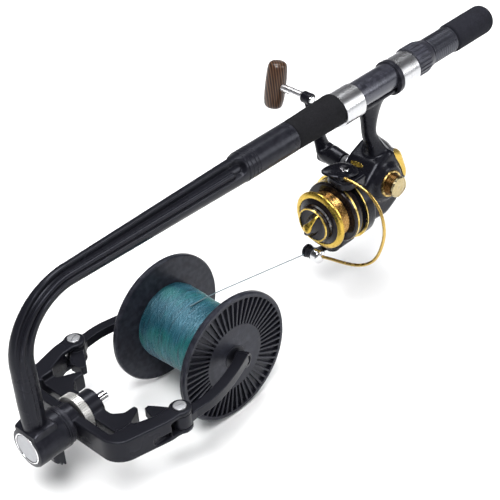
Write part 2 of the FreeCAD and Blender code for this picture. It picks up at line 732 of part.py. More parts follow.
def body_outline(inset=0.0):
    """The gear case's outline in X and Z, pulled in by a wall."""
    def place(u, w, radius):
        return (seat_middle + u, reel_z + w, max(radius - inset, 1.0))
    return [
        place(-26.5 + inset, -20.0 + inset, 7.0), place(1.0 - inset * 0.2, -22.5 + inset, 12.0),
        place(13.5 - inset, -16.0 + inset * 0.6, 9.0), place(26.8 - inset, 3.0, 12.0),
        place(19.5 - inset * 0.8, 25.0 - inset * 0.8, 10.0), place(7.0, 32.0 - inset, 8.0),
        place(-7.5, 26.0 - inset, 10.0), place(-17.5 + inset * 0.4, 17.5 - inset * 0.9, 8.0),
        place(-26.5 + inset, 9.5 - inset * 0.5, 6.0)]


def reel_body():
    """The foot, the stem and the gear case, with its cover, bearings, trim and caps."""
    foot_start = fixed_hood_back - foot_tuck
    foot_end = sliding_hood_front + foot_tuck
    foot = foot_sector(foot_start, foot_end, tube_radius, tube_radius + foot_thickness, foot_width / 2)
    stem_sections = [
        (-0.6, rod_to_reel - tube_radius - 1.2, 14.2, 7.4), (-2.2, 63.0, 8.6, 6.2), (-3.2, 54.0, 6.3, 5.6),
        (-3.0, 46.0, 5.7, 5.6), (1.0, 38.0, 7.4, 6.8), (5.0, 31.0, 10.0, 9.0), (6.0, 24.0, 12.5, 10.8)]
    stem = limb([(at_reel(u, 0, w), X, Y, a, b) for u, w, a, b in stem_sections])
    stem = stem.cut(rod_x(foot_start - 1, foot_end + 1, tube_radius))
    case = plate_y(body_outline(), -body_half_width, body_half_width)
    side_edges = [edge for edge in case.Edges
                  if all(abs(vertex.Y + body_half_width) < 1e-6 for vertex in edge.Vertexes)]
    case = case.makeFillet(5.0, side_edges)
    crank_x = seat_middle
    boss = turned([
        (-body_half_width + 3, 0), (-body_half_width + 3, 16.0), (-body_half_width, 16.0),
        (-body_half_width - 4, 12.6), (-body_half_width - 4, 0)], Vector(crank_x, 0, crank_z), Y)
    front_ring = reel_ring([
        (-30.5, 0), (-30.5, 20.5), (-25.0, 21.5), (front_ring_back, 19.0), (front_ring_back, 0)])
    body = fused([foot, stem, case, boss, front_ring])
    cavity = plate_y(body_outline(wall), -body_half_width + wall, body_half_width + 5)
    body = body.cut(cavity)
    body = body.cut(rod_y(-body_half_width - 1.6, 0, drive_shaft_diameter / 2 + 3.4, crank_x, crank_z))
    body = body.cut(rod_x(seat_middle - 40, seat_middle - 20, pinion_diameter / 2 + 3.8, 0, reel_z))
    return body


def reel_fittings(body):
    """What is fastened to the gear case and stays still."""
    side = body_half_width
    shaft = drive_shaft_diameter / 2 + running_clearance
    centre = Vector(seat_middle, 0, crank_z)
    cover = plate_y(body_outline(), side, side + wall)
    cover = cover.cut(rod_x(seat_middle - 36, seat_middle + front_ring_back, rotor_diameter / 2 + 2, 0, reel_z))
    boss = turned([(side + wall - 1, 0), (side + wall - 1, 14.0), (side + 5.5, 11.0), (side + 5.5, 0)], centre, Y)
    cover = fused([cover, boss])
    cover = cover.cut(rod_y(side - 1, side + 3.6, shaft + 3.34, seat_middle, crank_z))
    cover = cover.cut(rod_y(side, side + 10, shaft + 0.3, seat_middle, crank_z))
    screws = []
    for u, w in ((-18.0, 9.5), (-18.5, -14.5), (21.5, -8.5)):
        point = at_reel(u, 0, w)
        screws.append(turned([
            (side + wall, 0), (side + wall, 2.6), (side + wall + 1.0, 2.2), (side + wall + 1.0, 0.9),
            (side + wall + 0.4, 0.9), (side + wall + 0.4, 0)], point, Y))

    def bearing(start, end):
        outer = rod_y(start, end, shaft + 3.34, seat_middle, crank_z)
        return outer.cut(rod_y(start - 1, end + 1, shaft, seat_middle, crank_z))
    near_bearing = bearing(-side - 1.6, -side + 2.0)
    far_bearing = bearing(side, side + 3.6)
    pinion_radius = pinion_diameter / 2
    pinion_bearing = reel_ring([
        (-30.0, pinion_radius + running_clearance), (-30.0, pinion_radius + 3.8), (-25.0, pinion_radius + 3.8),
        (-25.0, pinion_radius + running_clearance)])

    cap_radius = side_cap_diameter / 2
    bezel = turned([
        (-side - 4, cap_radius + 0.5), (-side - 4, cap_radius + 2.4), (-side - 5.2, cap_radius + 2.0),
        (-side - 5.2, cap_radius + 0.5)], centre, Y)
    cap = turned([
        (-side - 4, 0), (-side - 4, cap_radius), (-side - 11.0, cap_radius - 0.4), (-side - 11.0, 0)], centre, Y)
    cap_face = turned([
        (-side - 11.0, 0), (-side - 11.0, cap_radius - 0.1), (-side - 12.2, cap_radius - 0.1),
        (-side - 13.0, cap_radius - 1.2), (-side - 13.0, 0)],
        centre, Y)
    outline = body_outline()
    back = rounded_wire(outline, lambda a, b: Vector(a, -5.5, b))
    band = Part.Face(back).extrude(Y * 11.0)
    band = band.cut(plate_y(body_outline(0.9), -6, 6))
    band = band.common(box((seat_middle + 12, -6, reel_z - 1), (seat_middle + 40, 6, reel_z + 40)))
    band.translate(Vector(0.95, 0, 0.62))
    rear_trim = max(band.cut(plate_y(body_outline(), -6, 6)).cut(body).Solids, key=lambda solid: solid.Volume)
    return {"side_cover": cover, "cover_screws": Part.makeCompound(screws), "cap_bezel": bezel,
            "side_cap": fused([cap, cap_face]), "rear_trim": rear_trim,
            "reel_bearings": Part.makeCompound([near_bearing, far_bearing, pinion_bearing])}


def toothed(start, end, outer, inner, count, bore):
    """A straight-toothed gear about the rotor's axis."""
    points = []
    for i in range(count):
        for share, radius in ((0.0, outer), (0.3, outer), (0.5, inner), (0.8, inner)):
            angle = 2 * math.pi * (i + share) / count
            points.append(at_reel(start, radius * math.cos(angle), radius * math.sin(angle)))
    gear = Part.Face(Part.makePolygon(points + points[:1])).extrude(X * (end - start))
    return gear.cut(rod_x(seat_middle + start - 1, seat_middle + end + 1, bore, 0, reel_z))


def rotor_arm(start, end, inner, outer, half_width, nose):
    """A curved panel above the rotor, tapered towards its front."""
    ring = reel_ring([(start, inner), (start, outer), (end, outer), (end, inner)])
    shoulder = start + (end - start) * 0.35
    panel = plate_z([
        (seat_middle + start, -half_width * 0.62, nose), (seat_middle + start, half_width * 0.62, nose),
        (seat_middle + shoulder, half_width, nose / 2), (seat_middle + end, half_width),
        (seat_middle + end, -half_width), (seat_middle + shoulder, -half_width, nose / 2)],
        reel_z, reel_z + outer + 2)
    return ring.common(panel)


def rotor():
    """The cup with two arms, their covers, the ring round its edge, and the pinion that carries it."""
    radius = rotor_diameter / 2
    drum = skirt_diameter / 2 - 3.4
    shaft = main_shaft_diameter / 2 + running_clearance
    pinion_radius = pinion_diameter / 2
    cup = reel_ring([
        (-42.0, pinion_radius), (-42.0, drum - 1.5), (-40.5, drum), (-35.6, drum), (-35.6, radius - 1.6),
        (-34.8, radius - 1.6), (-34.8, radius), (-27.0, radius), (-26.0, radius - 1.0), (-26.0, radius - 3.0),
        (-33.0, radius - 3.0), (-34.0, drum - wall), (-39.6, drum - wall), (-39.6, pinion_radius + 3.0),
        (-33.5, pinion_radius + 3.0), (-33.5, pinion_radius)])
    half = rotor_arm_width / 2
    arm = rotor_arm(-49.5, -26.6, rotor_arm_inner, rotor_arm_outer, half, 5.0)
    root = rotor_arm(-34.6, -26.6, radius - 1.0, rotor_arm_inner + 0.5, half, 1.0)
    arms, covers = [], []
    for turn in (rotor_phase, rotor_phase + 180):
        arms += [around_x(arm, turn, reel_z), around_x(root, turn, reel_z)]
    pin_bore = Part.makeCylinder(bail_pin_diameter / 2 + running_clearance, 10, at_reel(bail_pivot_u, 0, 27), Z)
    shape = fused([cup] + arms)
    cover = rotor_arm(-48.6, -27.4, rotor_arm_outer, rotor_arm_outer + 1.3, half - 1.0, 4.6)
    cover = cover.cut(pin_bore)
    for turn in (rotor_phase, rotor_phase + 180):
        shape = shape.cut(around_x(pin_bore, turn, reel_z))
        covers.append(around_x(cover, turn, reel_z))
    ring = reel_ring([(-35.6, radius - 1.6), (-35.6, radius + 0.2), (-34.8, radius + 0.2), (-34.8, radius - 1.6)])
    toothed_part = toothed(-20.0, -8.0, pinion_radius, pinion_radius - 1.0, pinion_teeth, shaft)
    tube = reel_ring([(-46.0, shaft), (-46.0, pinion_radius), (-20.0, pinion_radius), (-20.0, shaft)])
    pinion = fused([tube, toothed_part])
    nut = toothed(-44.6, -42.0, pinion_radius + 2.6, pinion_radius + 2.4, 6, pinion_radius)
    return {"rotor_cup": shape, "arm_covers": Part.makeCompound(covers), "rotor_ring": ring, "pinion_gear": pinion, "rotor_nut": nut}


# The bail wire's course in u, v, w, from the upper arm to the line roller.
bail_course = [
    (-45.9, -10.4, 35.0), (-43.9, -18.9, 33.2), (-41.7, -29.6, 28.8), (-40.5, -38.6, 20.3), (-40.6, -44.0, 8.8),
    (-41.7, -45.8, -1.7), (-43.9, -44.4, -13.6), (-47.2, -39.8, -24.6), (-50.2, -33.2, -29.7),
    (-53.2, -24.4, -31.9), (-56.4, -13.6, -32.0), (-60.9, 2.0, -32.0)]
roller_centre = (-60.9, 8.7, -31.8)


def bail():
    """The wire, its hub on the upper arm, the lever on the lower arm, and the roller's fittings."""
    points = [at_reel(*point) for point in bail_course]
    bail_start, bail_end = bail_course[0], bail_course[-1]
    curve = Part.BSplineCurve()
    curve.interpolate(points)
    path = Part.Wire(curve.toShape())
    section = Part.Wire(Part.Circle(points[0], curve.tangent(0)[0], bail_wire_diameter / 2).toShape())
    wire = path.makePipeShell([section], True, False)

    outer = rotor_arm_outer + 1.3 + free_gap
    low = rotor_arm_inner + 0.6
    hub = Part.makeCylinder(6.6, 3.6, at_reel(bail_pivot_u, 0, outer), Z)
    pin = Part.makeCylinder(bail_pin_diameter / 2, outer - low + 1, at_reel(bail_pivot_u, 0, low), Z)
    lug = Part.makeCylinder(2.6, 3.2, at_reel(bail_start[0], 0, outer), Z)
    lug.translate(Vector(0, -3.0, 0))
    web = box((seat_middle + bail_start[0], -5.0, reel_z + outer), (seat_middle + bail_pivot_u, -0.6, reel_z + outer + 3.0))
    beak = limb([
        (at_reel(bail_pivot_u, 0.4, outer + 1.8), Vector(0.62, 0.78, 0), Z, 6.2, 1.7),
        (at_reel(bail_pivot_u - 6.2, 5.0, outer + 1.6), Vector(0.62, 0.78, 0), Z, 5.2, 1.5),
        (at_reel(bail_pivot_u - 11.4, 8.8, outer + 1.1), Vector(0.62, 0.78, 0), Z, 2.2, 1.0)])
    upper = around_x(fused([hub, pin, lug, web, beak]), rotor_phase, reel_z).cut(wire)
    screw = Part.makeCylinder(3.4, 0.9, at_reel(bail_pivot_u, 0, outer + 3.6), Z)
    screw = screw.cut(box((seat_middle + bail_pivot_u - 4, -0.4, reel_z + outer + 4.1),
                          (seat_middle + bail_pivot_u + 4, 0.4, reel_z + outer + 6)))

    lever_hub = around_x(fused([hub, pin]), rotor_phase + 180, reel_z)
    roll = at_reel(*roller_centre)
    cap_start = roll.y + roller_length / 2 + 0.4
    cap = turned([
        (cap_start, 0), (cap_start, 5.2), (cap_start + 1.8, 5.2), (cap_start + 2.8, 4.2), (cap_start + 2.8, 0)],
        Vector(roll.x, 0, roll.z), Y)
    hub_side = math.radians(rotor_phase)
    hub_height = outer + 1.9
    hub_point = at_reel(bail_pivot_u, hub_height * math.sin(hub_side), -hub_height * math.cos(hub_side))
    neck_point = Vector(roll.x, cap_start + 1.6, roll.z - 1.4)
    heading = (neck_point - hub_point).normalize()
    across = heading.cross(Vector(0, 0.3, 1)).normalize()
    thin = heading.cross(across).normalize()
    middle_point = (hub_point + neck_point) * 0.5 + Vector(0, 1.4, -2.4)
    neck = limb([(hub_point, across, thin, 5.2, 1.7), (middle_point, across, thin, 4.2, 1.8),
                 (neck_point, across, thin, 3.4, 1.6)])
    axle_radius = 1.6
    rim = roller_diameter / 2
    swept = math.hypot(rotor_arm_width / 2, 13.5)
    over_arm = Part.makeCylinder(swept, outer - low, at_reel(bail_pivot_u, 0, low), Z)
    neck = neck.cut(around_x(over_arm, rotor_phase + 180, reel_z))
    neck = neck.cut(rod_y(roll.y - roller_length / 2 - free_gap, cap_start, rim + free_gap, roll.x, roll.z))
    lever = fused([lever_hub, neck, cap])
    axle = rod_y(bail_end[1] - 1.0, cap_start, axle_radius, roll.x, roll.z)
    guide_end = roll.y - roller_length / 2 - 0.35
    guide_radius = guide_diameter / 2
    guide = turned([
        (bail_end[1] - 4.0, 0), (bail_end[1] - 4.0, 2.4), (bail_end[1] - 3.0, 4.6), (bail_end[1] - 1.8, guide_radius),
        (guide_end - 0.8, guide_radius), (guide_end, guide_radius - 0.7), (guide_end, axle_radius),
        (bail_end[1] - 1.0, axle_radius), (bail_end[1] - 1.0, 0)], Vector(roll.x, 0, roll.z), Y)
    lever = lever.fuse(axle)
    lever = lever.fuse(guide).removeSplitter().cut(wire)
    roller = turned([
        (roll.y - roller_length / 2, axle_radius + running_clearance), (roll.y - roller_length / 2, rim),
        (roll.y - 1.5, rim), (roll.y - 0.6, rim - 1.1), (roll.y + 0.6, rim - 1.1), (roll.y + 1.5, rim),
        (roll.y + roller_length / 2, rim), (roll.y + roller_length / 2, axle_radius + running_clearance)],
        Vector(roll.x, 0, roll.z), Y)
    return {"bail_wire": wire, "bail_hub": upper, "bail_screw": around_x(screw, rotor_phase, reel_z),
            "bail_lever": lever, "line_roller": roller}


def reel_spool():
    """The reel's own spool on its shaft: lip, arbor, skirt, drag washers and drag knob."""
    shaft_radius = main_shaft_diameter / 2
    bore = shaft_radius + running_clearance
    lip_radius = spool_lip_diameter / 2
    arbor = arbor_diameter / 2
    skirt_radius = skirt_diameter / 2
    lip_inner = lip_inner_diameter / 2
    lip = reel_ring([
        (-60.6, lip_inner), (-61.0, lip_inner + 0.8), (-59.8, lip_radius - 0.5), (-58.8, lip_radius),
        (-57.8, lip_radius), (-57.2, lip_radius - 1.4), (-57.2, lip_inner)])
    grooves = [(-57.2, 14.2), (-57.2, arbor)]
    for ring in range(5):
        base = -56.4 + 1.9 * ring
        grooves += [(base, arbor), (base + 0.3, arbor - 0.35), (base + 0.8, arbor - 0.35), (base + 1.1, arbor)]
    drum = reel_ring(grooves + [(-47.0, arbor), (-47.0, bore), (-51.0, bore), (-51.0, 14.2)])
    collar = reel_ring([(-62.0, 14.2), (-62.0, 15.4), (-60.6, lip_inner), (-57.2, lip_inner), (-57.2, 14.2)])
    skirt = reel_ring([
        (-47.0, bore + 3), (-47.0, skirt_radius - 1.2), (-46.2, skirt_radius), (-38.6, skirt_radius),
        (-38.6, skirt_radius - 1.8), (-45.2, skirt_radius - 1.8), (-45.2, bore + 3)])
    skirt_groove = reel_ring([
        (-44.2, skirt_radius - 0.5), (-44.2, skirt_radius + 1), (-42.8, skirt_radius + 1), (-42.8, skirt_radius - 0.5)])
    skirt = skirt.cut(skirt_groove)
    trim = reel_ring([
        (-44.2, skirt_radius - 0.5), (-44.2, skirt_radius + 0.25), (-42.8, skirt_radius + 0.25),
        (-42.8, skirt_radius - 0.5)])
    washers = []
    for i in range(3):
        start = -51.0 - 1.1 * (i + 1)
        washers.append(reel_ring([(start, bore), (start, 13.6), (start + 0.9, 13.6), (start + 0.9, bore)]))
    shaft = rod_x(seat_middle - 70, seat_middle + 17, shaft_radius, 0, reel_z)
    slider = box((seat_middle + 10, -4, reel_z - 4), (seat_middle + 16, 4, reel_z + 3.8))
    slider = slider.cut(rod_x(seat_middle, seat_middle + 30, shaft_radius, 0, reel_z))
    return {"spool_lip": lip, "spool_arbor": fused([drum, collar]), "spool_skirt": skirt, "skirt_trim": trim,
            "drag_washers": Part.makeCompound(washers), "main_shaft": shaft, "shaft_slider": slider}


def drag_knob():
    """The knob that sets the drag, with a raised grip bar, its trim and its button."""
    bore = main_shaft_diameter / 2 + running_clearance
    radius = drag_knob_diameter / 2 - 0.6
    disc = reel_ring([
        (-63.4, bore), (-63.4, radius), (-65.8, radius), (-66.4, radius - 0.6), (-66.4, 4.2), (-70.4, 4.2),
        (-70.4, 0), (-70.05, 0), (-70.05, bore)])
    grip = limb([(at_reel(-66.0, 0, 0), Z, Y, 12.0, 5.6), (at_reel(-69.4, 0, 0), Z, Y, 11.0, 4.6),
                 (at_reel(-71.4, 0, 0), Z, Y, 9.4, 3.4)])
    grip = around_x(grip, 35, reel_z)
    knob = fused([disc, grip]).cut(rod_x(seat_middle - 70.05, seat_middle - 60, bore, 0, reel_z))
    trim = reel_ring([(-66.4, radius - 2.0), (-67.2, radius - 1.8), (-67.2, radius - 0.9), (-66.4, radius - 0.7)])
    trim = trim.cut(grip)
    button = reel_ring([(-71.4, 0), (-71.4, 3.4), (-74.4, 3.4), (-75.2, 2.4), (-75.2, 0)])
    return {"drag_knob": knob, "drag_knob_trim": Part.makeCompound(trim.Solids), "drag_button": button}


# ------------------------------------------------------------------ crank
def crank():
    """The drive gear and its shaft, the crank arm and the wooden knob."""
    shaft_radius = drive_shaft_diameter / 2
    x, z = seat_middle, crank_z
    centre = Vector(x, 0, z)
    gear_radius = drive_gear_diameter / 2
    near_face = pinion_diameter / 2 + 0.25
    hub_start = body_half_width + 5.5 + free_gap
    arm_start = crank_root_plane - crank_arm_thickness / 2
    tip_start = crank_plane - crank_arm_thickness / 2
    shaft = rod_y(-body_half_width - 1.4, hub_start, shaft_radius, x, z)
    disc = rod_y(near_face + 0.9, near_face + 4.0, gear_radius, x, z)
    teeth = []
    for i in range(drive_gear_teeth):
        tooth = box((x + gear_radius - 4.2, near_face, z - 0.45), (x + gear_radius, near_face + 1.2, z + 0.45))
        tooth.rotate(centre, Y, 360.0 * i / drive_gear_teeth)
        teeth.append(tooth)
    gear = fused([shaft, disc] + teeth)

    hub_radius_here = crank_hub_diameter / 2
    hub = turned([
        (hub_start, 0), (hub_start, hub_radius_here + 1.2), (hub_start + 2.5, hub_radius_here + 1.2),
        (hub_start + 4.5, hub_radius_here - 0.6), (arm_start, hub_radius_here), (arm_start, 0)], centre, Y)
    lean = math.radians(crank_lean)
    tip = Vector(x - crank_radius * math.sin(lean), 0, z + crank_radius * math.cos(lean))
    root_disc = rod_y(arm_start, arm_start + crank_arm_thickness, hub_radius_here, x, z)
    upward = Vector(math.cos(lean), 0, math.sin(lean))
    towards = (tip - centre).normalize()
    half = crank_arm_thickness / 2
    root = centre + Y * crank_root_plane
    outer_end = centre + Y * crank_plane + towards * crank_radius
    beam = limb([
        (root, upward, Y, hub_radius_here - 0.4, half - 0.1),
        (root + (outer_end - root) * 0.5, upward, Y, 4.7, half - 0.3),
        (outer_end, upward, Y, 4.2, half - 0.4)])
    joint_outside = tip_start + crank_arm_thickness + 1.6
    joint = rod_y(tip_start - 0.8, joint_outside, joint_diameter / 2, tip.x, tip.z)
    arm = fused([root_disc, beam, joint])
    arm = arm.cut(rod_y(tip_start, joint_outside + 1, knob_shaft_diameter / 2, tip.x, tip.z))
    screw = turned([
        (tip_start - 1.7, 0), (tip_start - 1.7, 2.4), (tip_start - 0.8, 3.0), (tip_start - 0.8, 0)],
        Vector(tip.x, 0, tip.z), Y)

    knob_near = joint_outside + knob_shaft_shown
    knob_middle = knob_near + knob_diameter / 2 - 0.4
    knob_shaft = rod_y(tip_start, knob_middle + 4.5, knob_shaft_diameter / 2, tip.x, tip.z)
    collar = turned([
        (joint_outside, knob_shaft_diameter / 2), (joint_outside, 3.7), (joint_outside + 1.6, 3.4),
        (joint_outside + 1.6, knob_shaft_diameter / 2)], Vector(tip.x, 0, tip.z), Y)
    radius = knob_diameter / 2
    profile = [(-knob_length / 2, 0)]
    for degrees in range(0, 91, 15):
        t = math.radians(degrees)
        profile.append((-knob_length / 2 + 6.0 * (1 - math.cos(t)), radius - 6.6 + 6.2 * math.sin(t)))
    profile.append((0, radius))
    profile += [(-a, r) for a, r in reversed(profile[:-1])]
    knob = turned(profile, Vector(tip.x, knob_middle, tip.z), Z)
    knob.rotate(Vector(tip.x, knob_middle, tip.z), Y, knob_lean)
    bore = knob_shaft_diameter / 2 + running_clearance
    knob = knob.cut(rod_y(knob_near - 2, knob_middle + 5.0, bore, tip.x, tip.z))
    return {"drive_gear": gear, "crank_hub": hub, "crank_arm": arm, "crank_joint_screw": screw,
            "knob_shaft": fused([knob_shaft, collar]), "wooden_knob": knob}


# ------------------------------------------------------------------ the whole winder
def all_nodes():
    """Every piece by name."""
    nodes = {}
    nodes.update(rod_handle())
    nodes["curved_arm"] = curved_arm()
    nodes.update(hub_parts())
    nodes["bracket_frame"] = bracket()
    right = finger()
    cone = tip_cone()
    spring = finger_spring()
    nodes.update({"right_finger": right, "right_tip_cone": cone, "right_spring": spring})
    nodes.update({"left_finger": mirrored_y(right), "left_tip_cone": mirrored_y(cone),
                  "left_spring": mirrored_y(spring)})
    nodes["pivot_pins"] = pivot_pins()
    nodes.update(line_spool())
    nodes["line_strand"] = line_strand()
    nodes["reel_body"] = reel_body()
    nodes.update(reel_fittings(nodes["reel_body"]))
    nodes.update(rotor())
    nodes.update(bail())
    nodes.update(reel_spool())
    nodes.update(drag_knob())
    nodes.update(crank())
    return nodes


def main():
    os.makedirs("parts", exist_ok=True)
    for name, shape in all_nodes().items():
        shape.exportStep(os.path.join("parts", name + ".step"))
        print("%-18s %d solids, %9.1f mm3, valid %s" % (name, len(shape.Solids), shape.Volume, shape.isValid()))


main()
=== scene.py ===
"""Fishing line winder: camera, light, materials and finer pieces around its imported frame.

Lengths are in millimetres until a mesh is made, and the frame is the CAD's: the origin is on the rod's
axis at the middle of the rear grip, +X points to the butt and +Z is up.
"""
import json
import math

import bmesh
import bpy
from mathutils import Matrix, Vector, noise


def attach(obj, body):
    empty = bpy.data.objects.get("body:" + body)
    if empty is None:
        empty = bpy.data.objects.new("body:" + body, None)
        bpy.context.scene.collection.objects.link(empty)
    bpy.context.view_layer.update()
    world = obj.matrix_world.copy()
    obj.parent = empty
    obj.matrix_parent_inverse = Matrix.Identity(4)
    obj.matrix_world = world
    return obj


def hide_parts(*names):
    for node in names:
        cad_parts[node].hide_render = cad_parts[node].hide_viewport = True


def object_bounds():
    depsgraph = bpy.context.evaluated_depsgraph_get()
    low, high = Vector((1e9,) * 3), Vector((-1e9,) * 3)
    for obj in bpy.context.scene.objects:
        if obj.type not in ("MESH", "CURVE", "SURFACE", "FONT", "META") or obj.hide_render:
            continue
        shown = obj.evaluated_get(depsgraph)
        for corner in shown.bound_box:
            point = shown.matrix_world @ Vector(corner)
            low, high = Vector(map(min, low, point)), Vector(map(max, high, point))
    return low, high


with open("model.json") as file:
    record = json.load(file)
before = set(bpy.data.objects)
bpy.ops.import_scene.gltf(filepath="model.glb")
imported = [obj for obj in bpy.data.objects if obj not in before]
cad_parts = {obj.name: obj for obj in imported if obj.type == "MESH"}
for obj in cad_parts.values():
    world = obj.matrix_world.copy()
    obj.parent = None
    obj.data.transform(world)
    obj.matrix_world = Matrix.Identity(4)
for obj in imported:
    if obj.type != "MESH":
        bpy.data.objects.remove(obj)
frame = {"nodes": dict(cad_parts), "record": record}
nodes = frame["nodes"]
cad_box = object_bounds()
MM = 0.001

# ---------- sizes repeated from the part's source
stud_z = -107.2
column_x = -436.85
bend_radius = 44.0
arm_drop = 107.2
socket_end = -195.25
socket_length = 48.5
socket_radius = 11.0
hub_back, hub_front, hub_radius = -445.75, -418.75, 14.3
spool_x, spool_z = -295.75, -111.2
flange_inner, spool_half = 31.0, 34.0
seat_middle, reel_z = -110.85, -83.4

# ---------- camera
camera_azimuth, camera_elevation, camera_roll = -42.7, 36.04, -5.01
camera_place = Vector((-0.80015, -0.6061, 0.5307))
focal_pixels, picture_pixels, sensor = 1477.94, 500.0, 36.0


def link(name, data):
    """A new object in the scene."""
    piece = bpy.data.objects.new(name, data)
    bpy.context.scene.collection.objects.link(piece)
    return piece


def make_camera():
    """The camera at the picture's place and angle."""
    azimuth, elevation, roll = (math.radians(v) for v in (camera_azimuth, camera_elevation, camera_roll))
    back = Vector((math.sin(azimuth) * math.cos(elevation), -math.cos(azimuth) * math.cos(elevation),
                   math.sin(elevation)))
    level = Vector((math.cos(azimuth), math.sin(azimuth), 0))
    upright = back.cross(level)
    right = level * math.cos(roll) + upright * math.sin(roll)
    up = upright * math.cos(roll) - level * math.sin(roll)
    data = bpy.data.cameras.new("camera")
    data.sensor_width = sensor
    data.lens = focal_pixels * sensor / picture_pixels
    data.clip_start, data.clip_end = 0.05, 30.0
    camera = link("camera", data)
    turn = Matrix((right, up, back)).transposed().to_4x4()
    camera.matrix_world = Matrix.Translation(camera_place) @ turn
    bpy.context.scene.camera = camera


make_camera()


# ---------- materials
ACROSS = (1.0, 1.0, 1.0)
COOL = (0.84, 0.87, 1.0, 1.0)


def times(colour, factor, added=0.0):
    """A lighter or darker colour of the same kind."""
    return tuple(c * factor + added for c in colour)


class Shade:
    """A material's nodes, with short calls for the patterns that the finishes share."""

    def __init__(self, name, colour, rough, metallic=0.0, specular=0.5, coat=0.0, coat_rough=0.1):
        self.material = bpy.data.materials.new(name)
        self.material.use_nodes = True
        self.tree = self.material.node_tree
        self.surface = self.tree.nodes["Principled BSDF"]
        for socket, value in (("Base Color", (*colour, 1.0)), ("Roughness", rough), ("Metallic", metallic),
                              ("Specular IOR Level", specular), ("Coat Weight", coat),
                              ("Coat Roughness", coat_rough)):
            self.set(self.surface, socket, value)
        self.colour, self.rough = colour, rough
        self.place = self.node("TexCoord").outputs["Object"]

    def node(self, kind):
        return self.tree.nodes.new("ShaderNode" + kind)

    def set(self, node, socket, value):
        node.inputs[socket].default_value = value

    def join(self, source, node, socket):
        self.tree.links.new(source, node.inputs[socket])

    def scaled(self, stretch, turn=(0.0, 0.0, 0.0)):
        """The piece's own coordinates, turned and stretched, for a pattern with a direction."""
        node = self.node("Mapping")
        self.join(self.place, node, "Vector")
        self.set(node, "Scale", stretch)
        self.set(node, "Rotation", turn)
        return node.outputs["Vector"]

    def speckle(self, size, detail=2.0, stretch=ACROSS):
        """Smooth noise with marks of about that size in millimetres."""
        node = self.node("TexNoise")
        self.join(self.scaled(stretch), node, "Vector")
        self.set(node, "Scale", 1.0 / (size * MM))
        self.set(node, "Detail", detail)
        return node.outputs["Fac"]

    def cells(self, size):
        """Rounded cells of about that size in millimetres."""
        node = self.node("TexVoronoi")
        self.join(self.place, node, "Vector")
        self.set(node, "Scale", 1.0 / (size * MM))
        return node.outputs["Distance"]

    def ranged(self, source, low, high, to_low=0.0, to_high=1.0):
        """The source's stretch from low to high, laid on another range and held at its ends."""
        node = self.node("MapRange")
        self.join(source, node, "Value")
        for socket, value in (("From Min", low), ("From Max", high), ("To Min", to_low), ("To Max", to_high)):
            self.set(node, socket, value)
        return node.outputs["Result"]

    def product(self, first, second):
        node = self.node("Math")
        node.operation = "MULTIPLY"
        self.join(first, node, 0)
        self.join(second, node, 1)
        return node.outputs["Value"]

    def blended(self, share, first, second):
        """A colour between two, each a colour or another blend's output."""
        node = self.node("Mix")
        node.data_type = "RGBA"
        share_in, first_in, second_in, colour_out = 0, 6, 7, 2
        self.join(share, node, share_in)
        for index, value in ((first_in, first), (second_in, second)):
            if isinstance(value, tuple):
                self.set(node, index, (*value, 1.0))
            else:
                self.join(value, node, index)
        return node.outputs[colour_out]

    def tint(self, share, other):
        """Mixes another colour into the surface where share is high."""
        before = self.surface.inputs["Base Color"]
        first = before.links[0].from_socket if before.links else self.colour
        self.join(self.blended(share, first, other), self.surface, "Base Color")

    def bands(self, place, direction, **values):
        """Sine bands across a direction, with the wave node's other sockets set by name."""
        node = self.node("TexWave")
        node.wave_type, node.bands_direction, node.wave_profile = "BANDS", direction, "SIN"
        self.join(place, node, "Vector")
        for socket, value in values.items():
            self.set(node, socket.replace("_", " "), value)
        return node.outputs["Fac"]

    def uneven(self, size, amount):
        """Roughness that varies a little, as handled and moulded surfaces have."""
        wave = self.ranged(self.speckle(size, 3.0), 0.3, 0.7, self.rough - amount, self.rough + amount)
        self.join(wave, self.surface, "Roughness")

    def relief(self, heights, edge=0.3):
        """Bumps, each (height output, depth in millimetres), over edges rounded by that radius."""
        bevel = self.node("Bevel")
        bevel.samples = 4
        self.set(bevel, "Radius", edge * MM)
        normal = bevel.outputs["Normal"]
        for height, depth in heights:
            bump = self.node("Bump")
            self.join(height, bump, "Height")
            self.join(normal, bump, "Normal")
            self.set(bump, "Strength", 1.0)
            self.set(bump, "Distance", depth * MM)
            normal = bump.outputs["Normal"]
        self.join(normal, self.surface, "Normal")

    def mottle(self, size, low, high, share, colour, detail=2.0, stretch=ACROSS):
        """Another colour, up to that share, where noise of that size rises from low to high."""
        self.tint(self.ranged(self.speckle(size, detail, stretch), low, high, 0.0, share), colour)

    def worn(self, colour, amount=0.6):
        """Edges rubbed lighter, in patches."""
        shape = self.node("NewGeometry").outputs["Pointiness"]
        edge = self.ranged(shape, 0.52, 0.60, 0.0, amount)
        patch = self.ranged(self.speckle(4.0, 3.0), 0.35, 0.65)
        self.tint(self.product(edge, patch), colour)


def moulding(name, colour, rough, grain=0.012, specular=0.15):
    """Satin moulded plastic with a fine grain, slight cloudiness and rubbed edges."""
    s = Shade(name, colour, rough, specular=specular)
    s.set(s.surface, "Specular Tint", COOL)
    s.mottle(40.0, 0.35, 0.75, 0.4, times(colour, 1.5))
    s.worn(times(colour, 3.5, 0.012))
    s.uneven(24.0, 0.03)
    s.relief([(s.speckle(0.5), grain)], 0.35)
    return s.material


def metal(name, colour, rough, worn=None):
    """Metal with a slightly uneven tone, a fine grain and, where that colour is given, worn edges."""
    s = Shade(name, colour, rough, metallic=1.0)
    s.mottle(9.0, 0.3, 0.7, 0.35, times(colour, 0.82), 3.0)
    if worn:
        s.worn(worn)
    s.uneven(3.0, 0.05)
    s.relief([(s.speckle(0.35), 0.004)], 0.2)
    return s.material


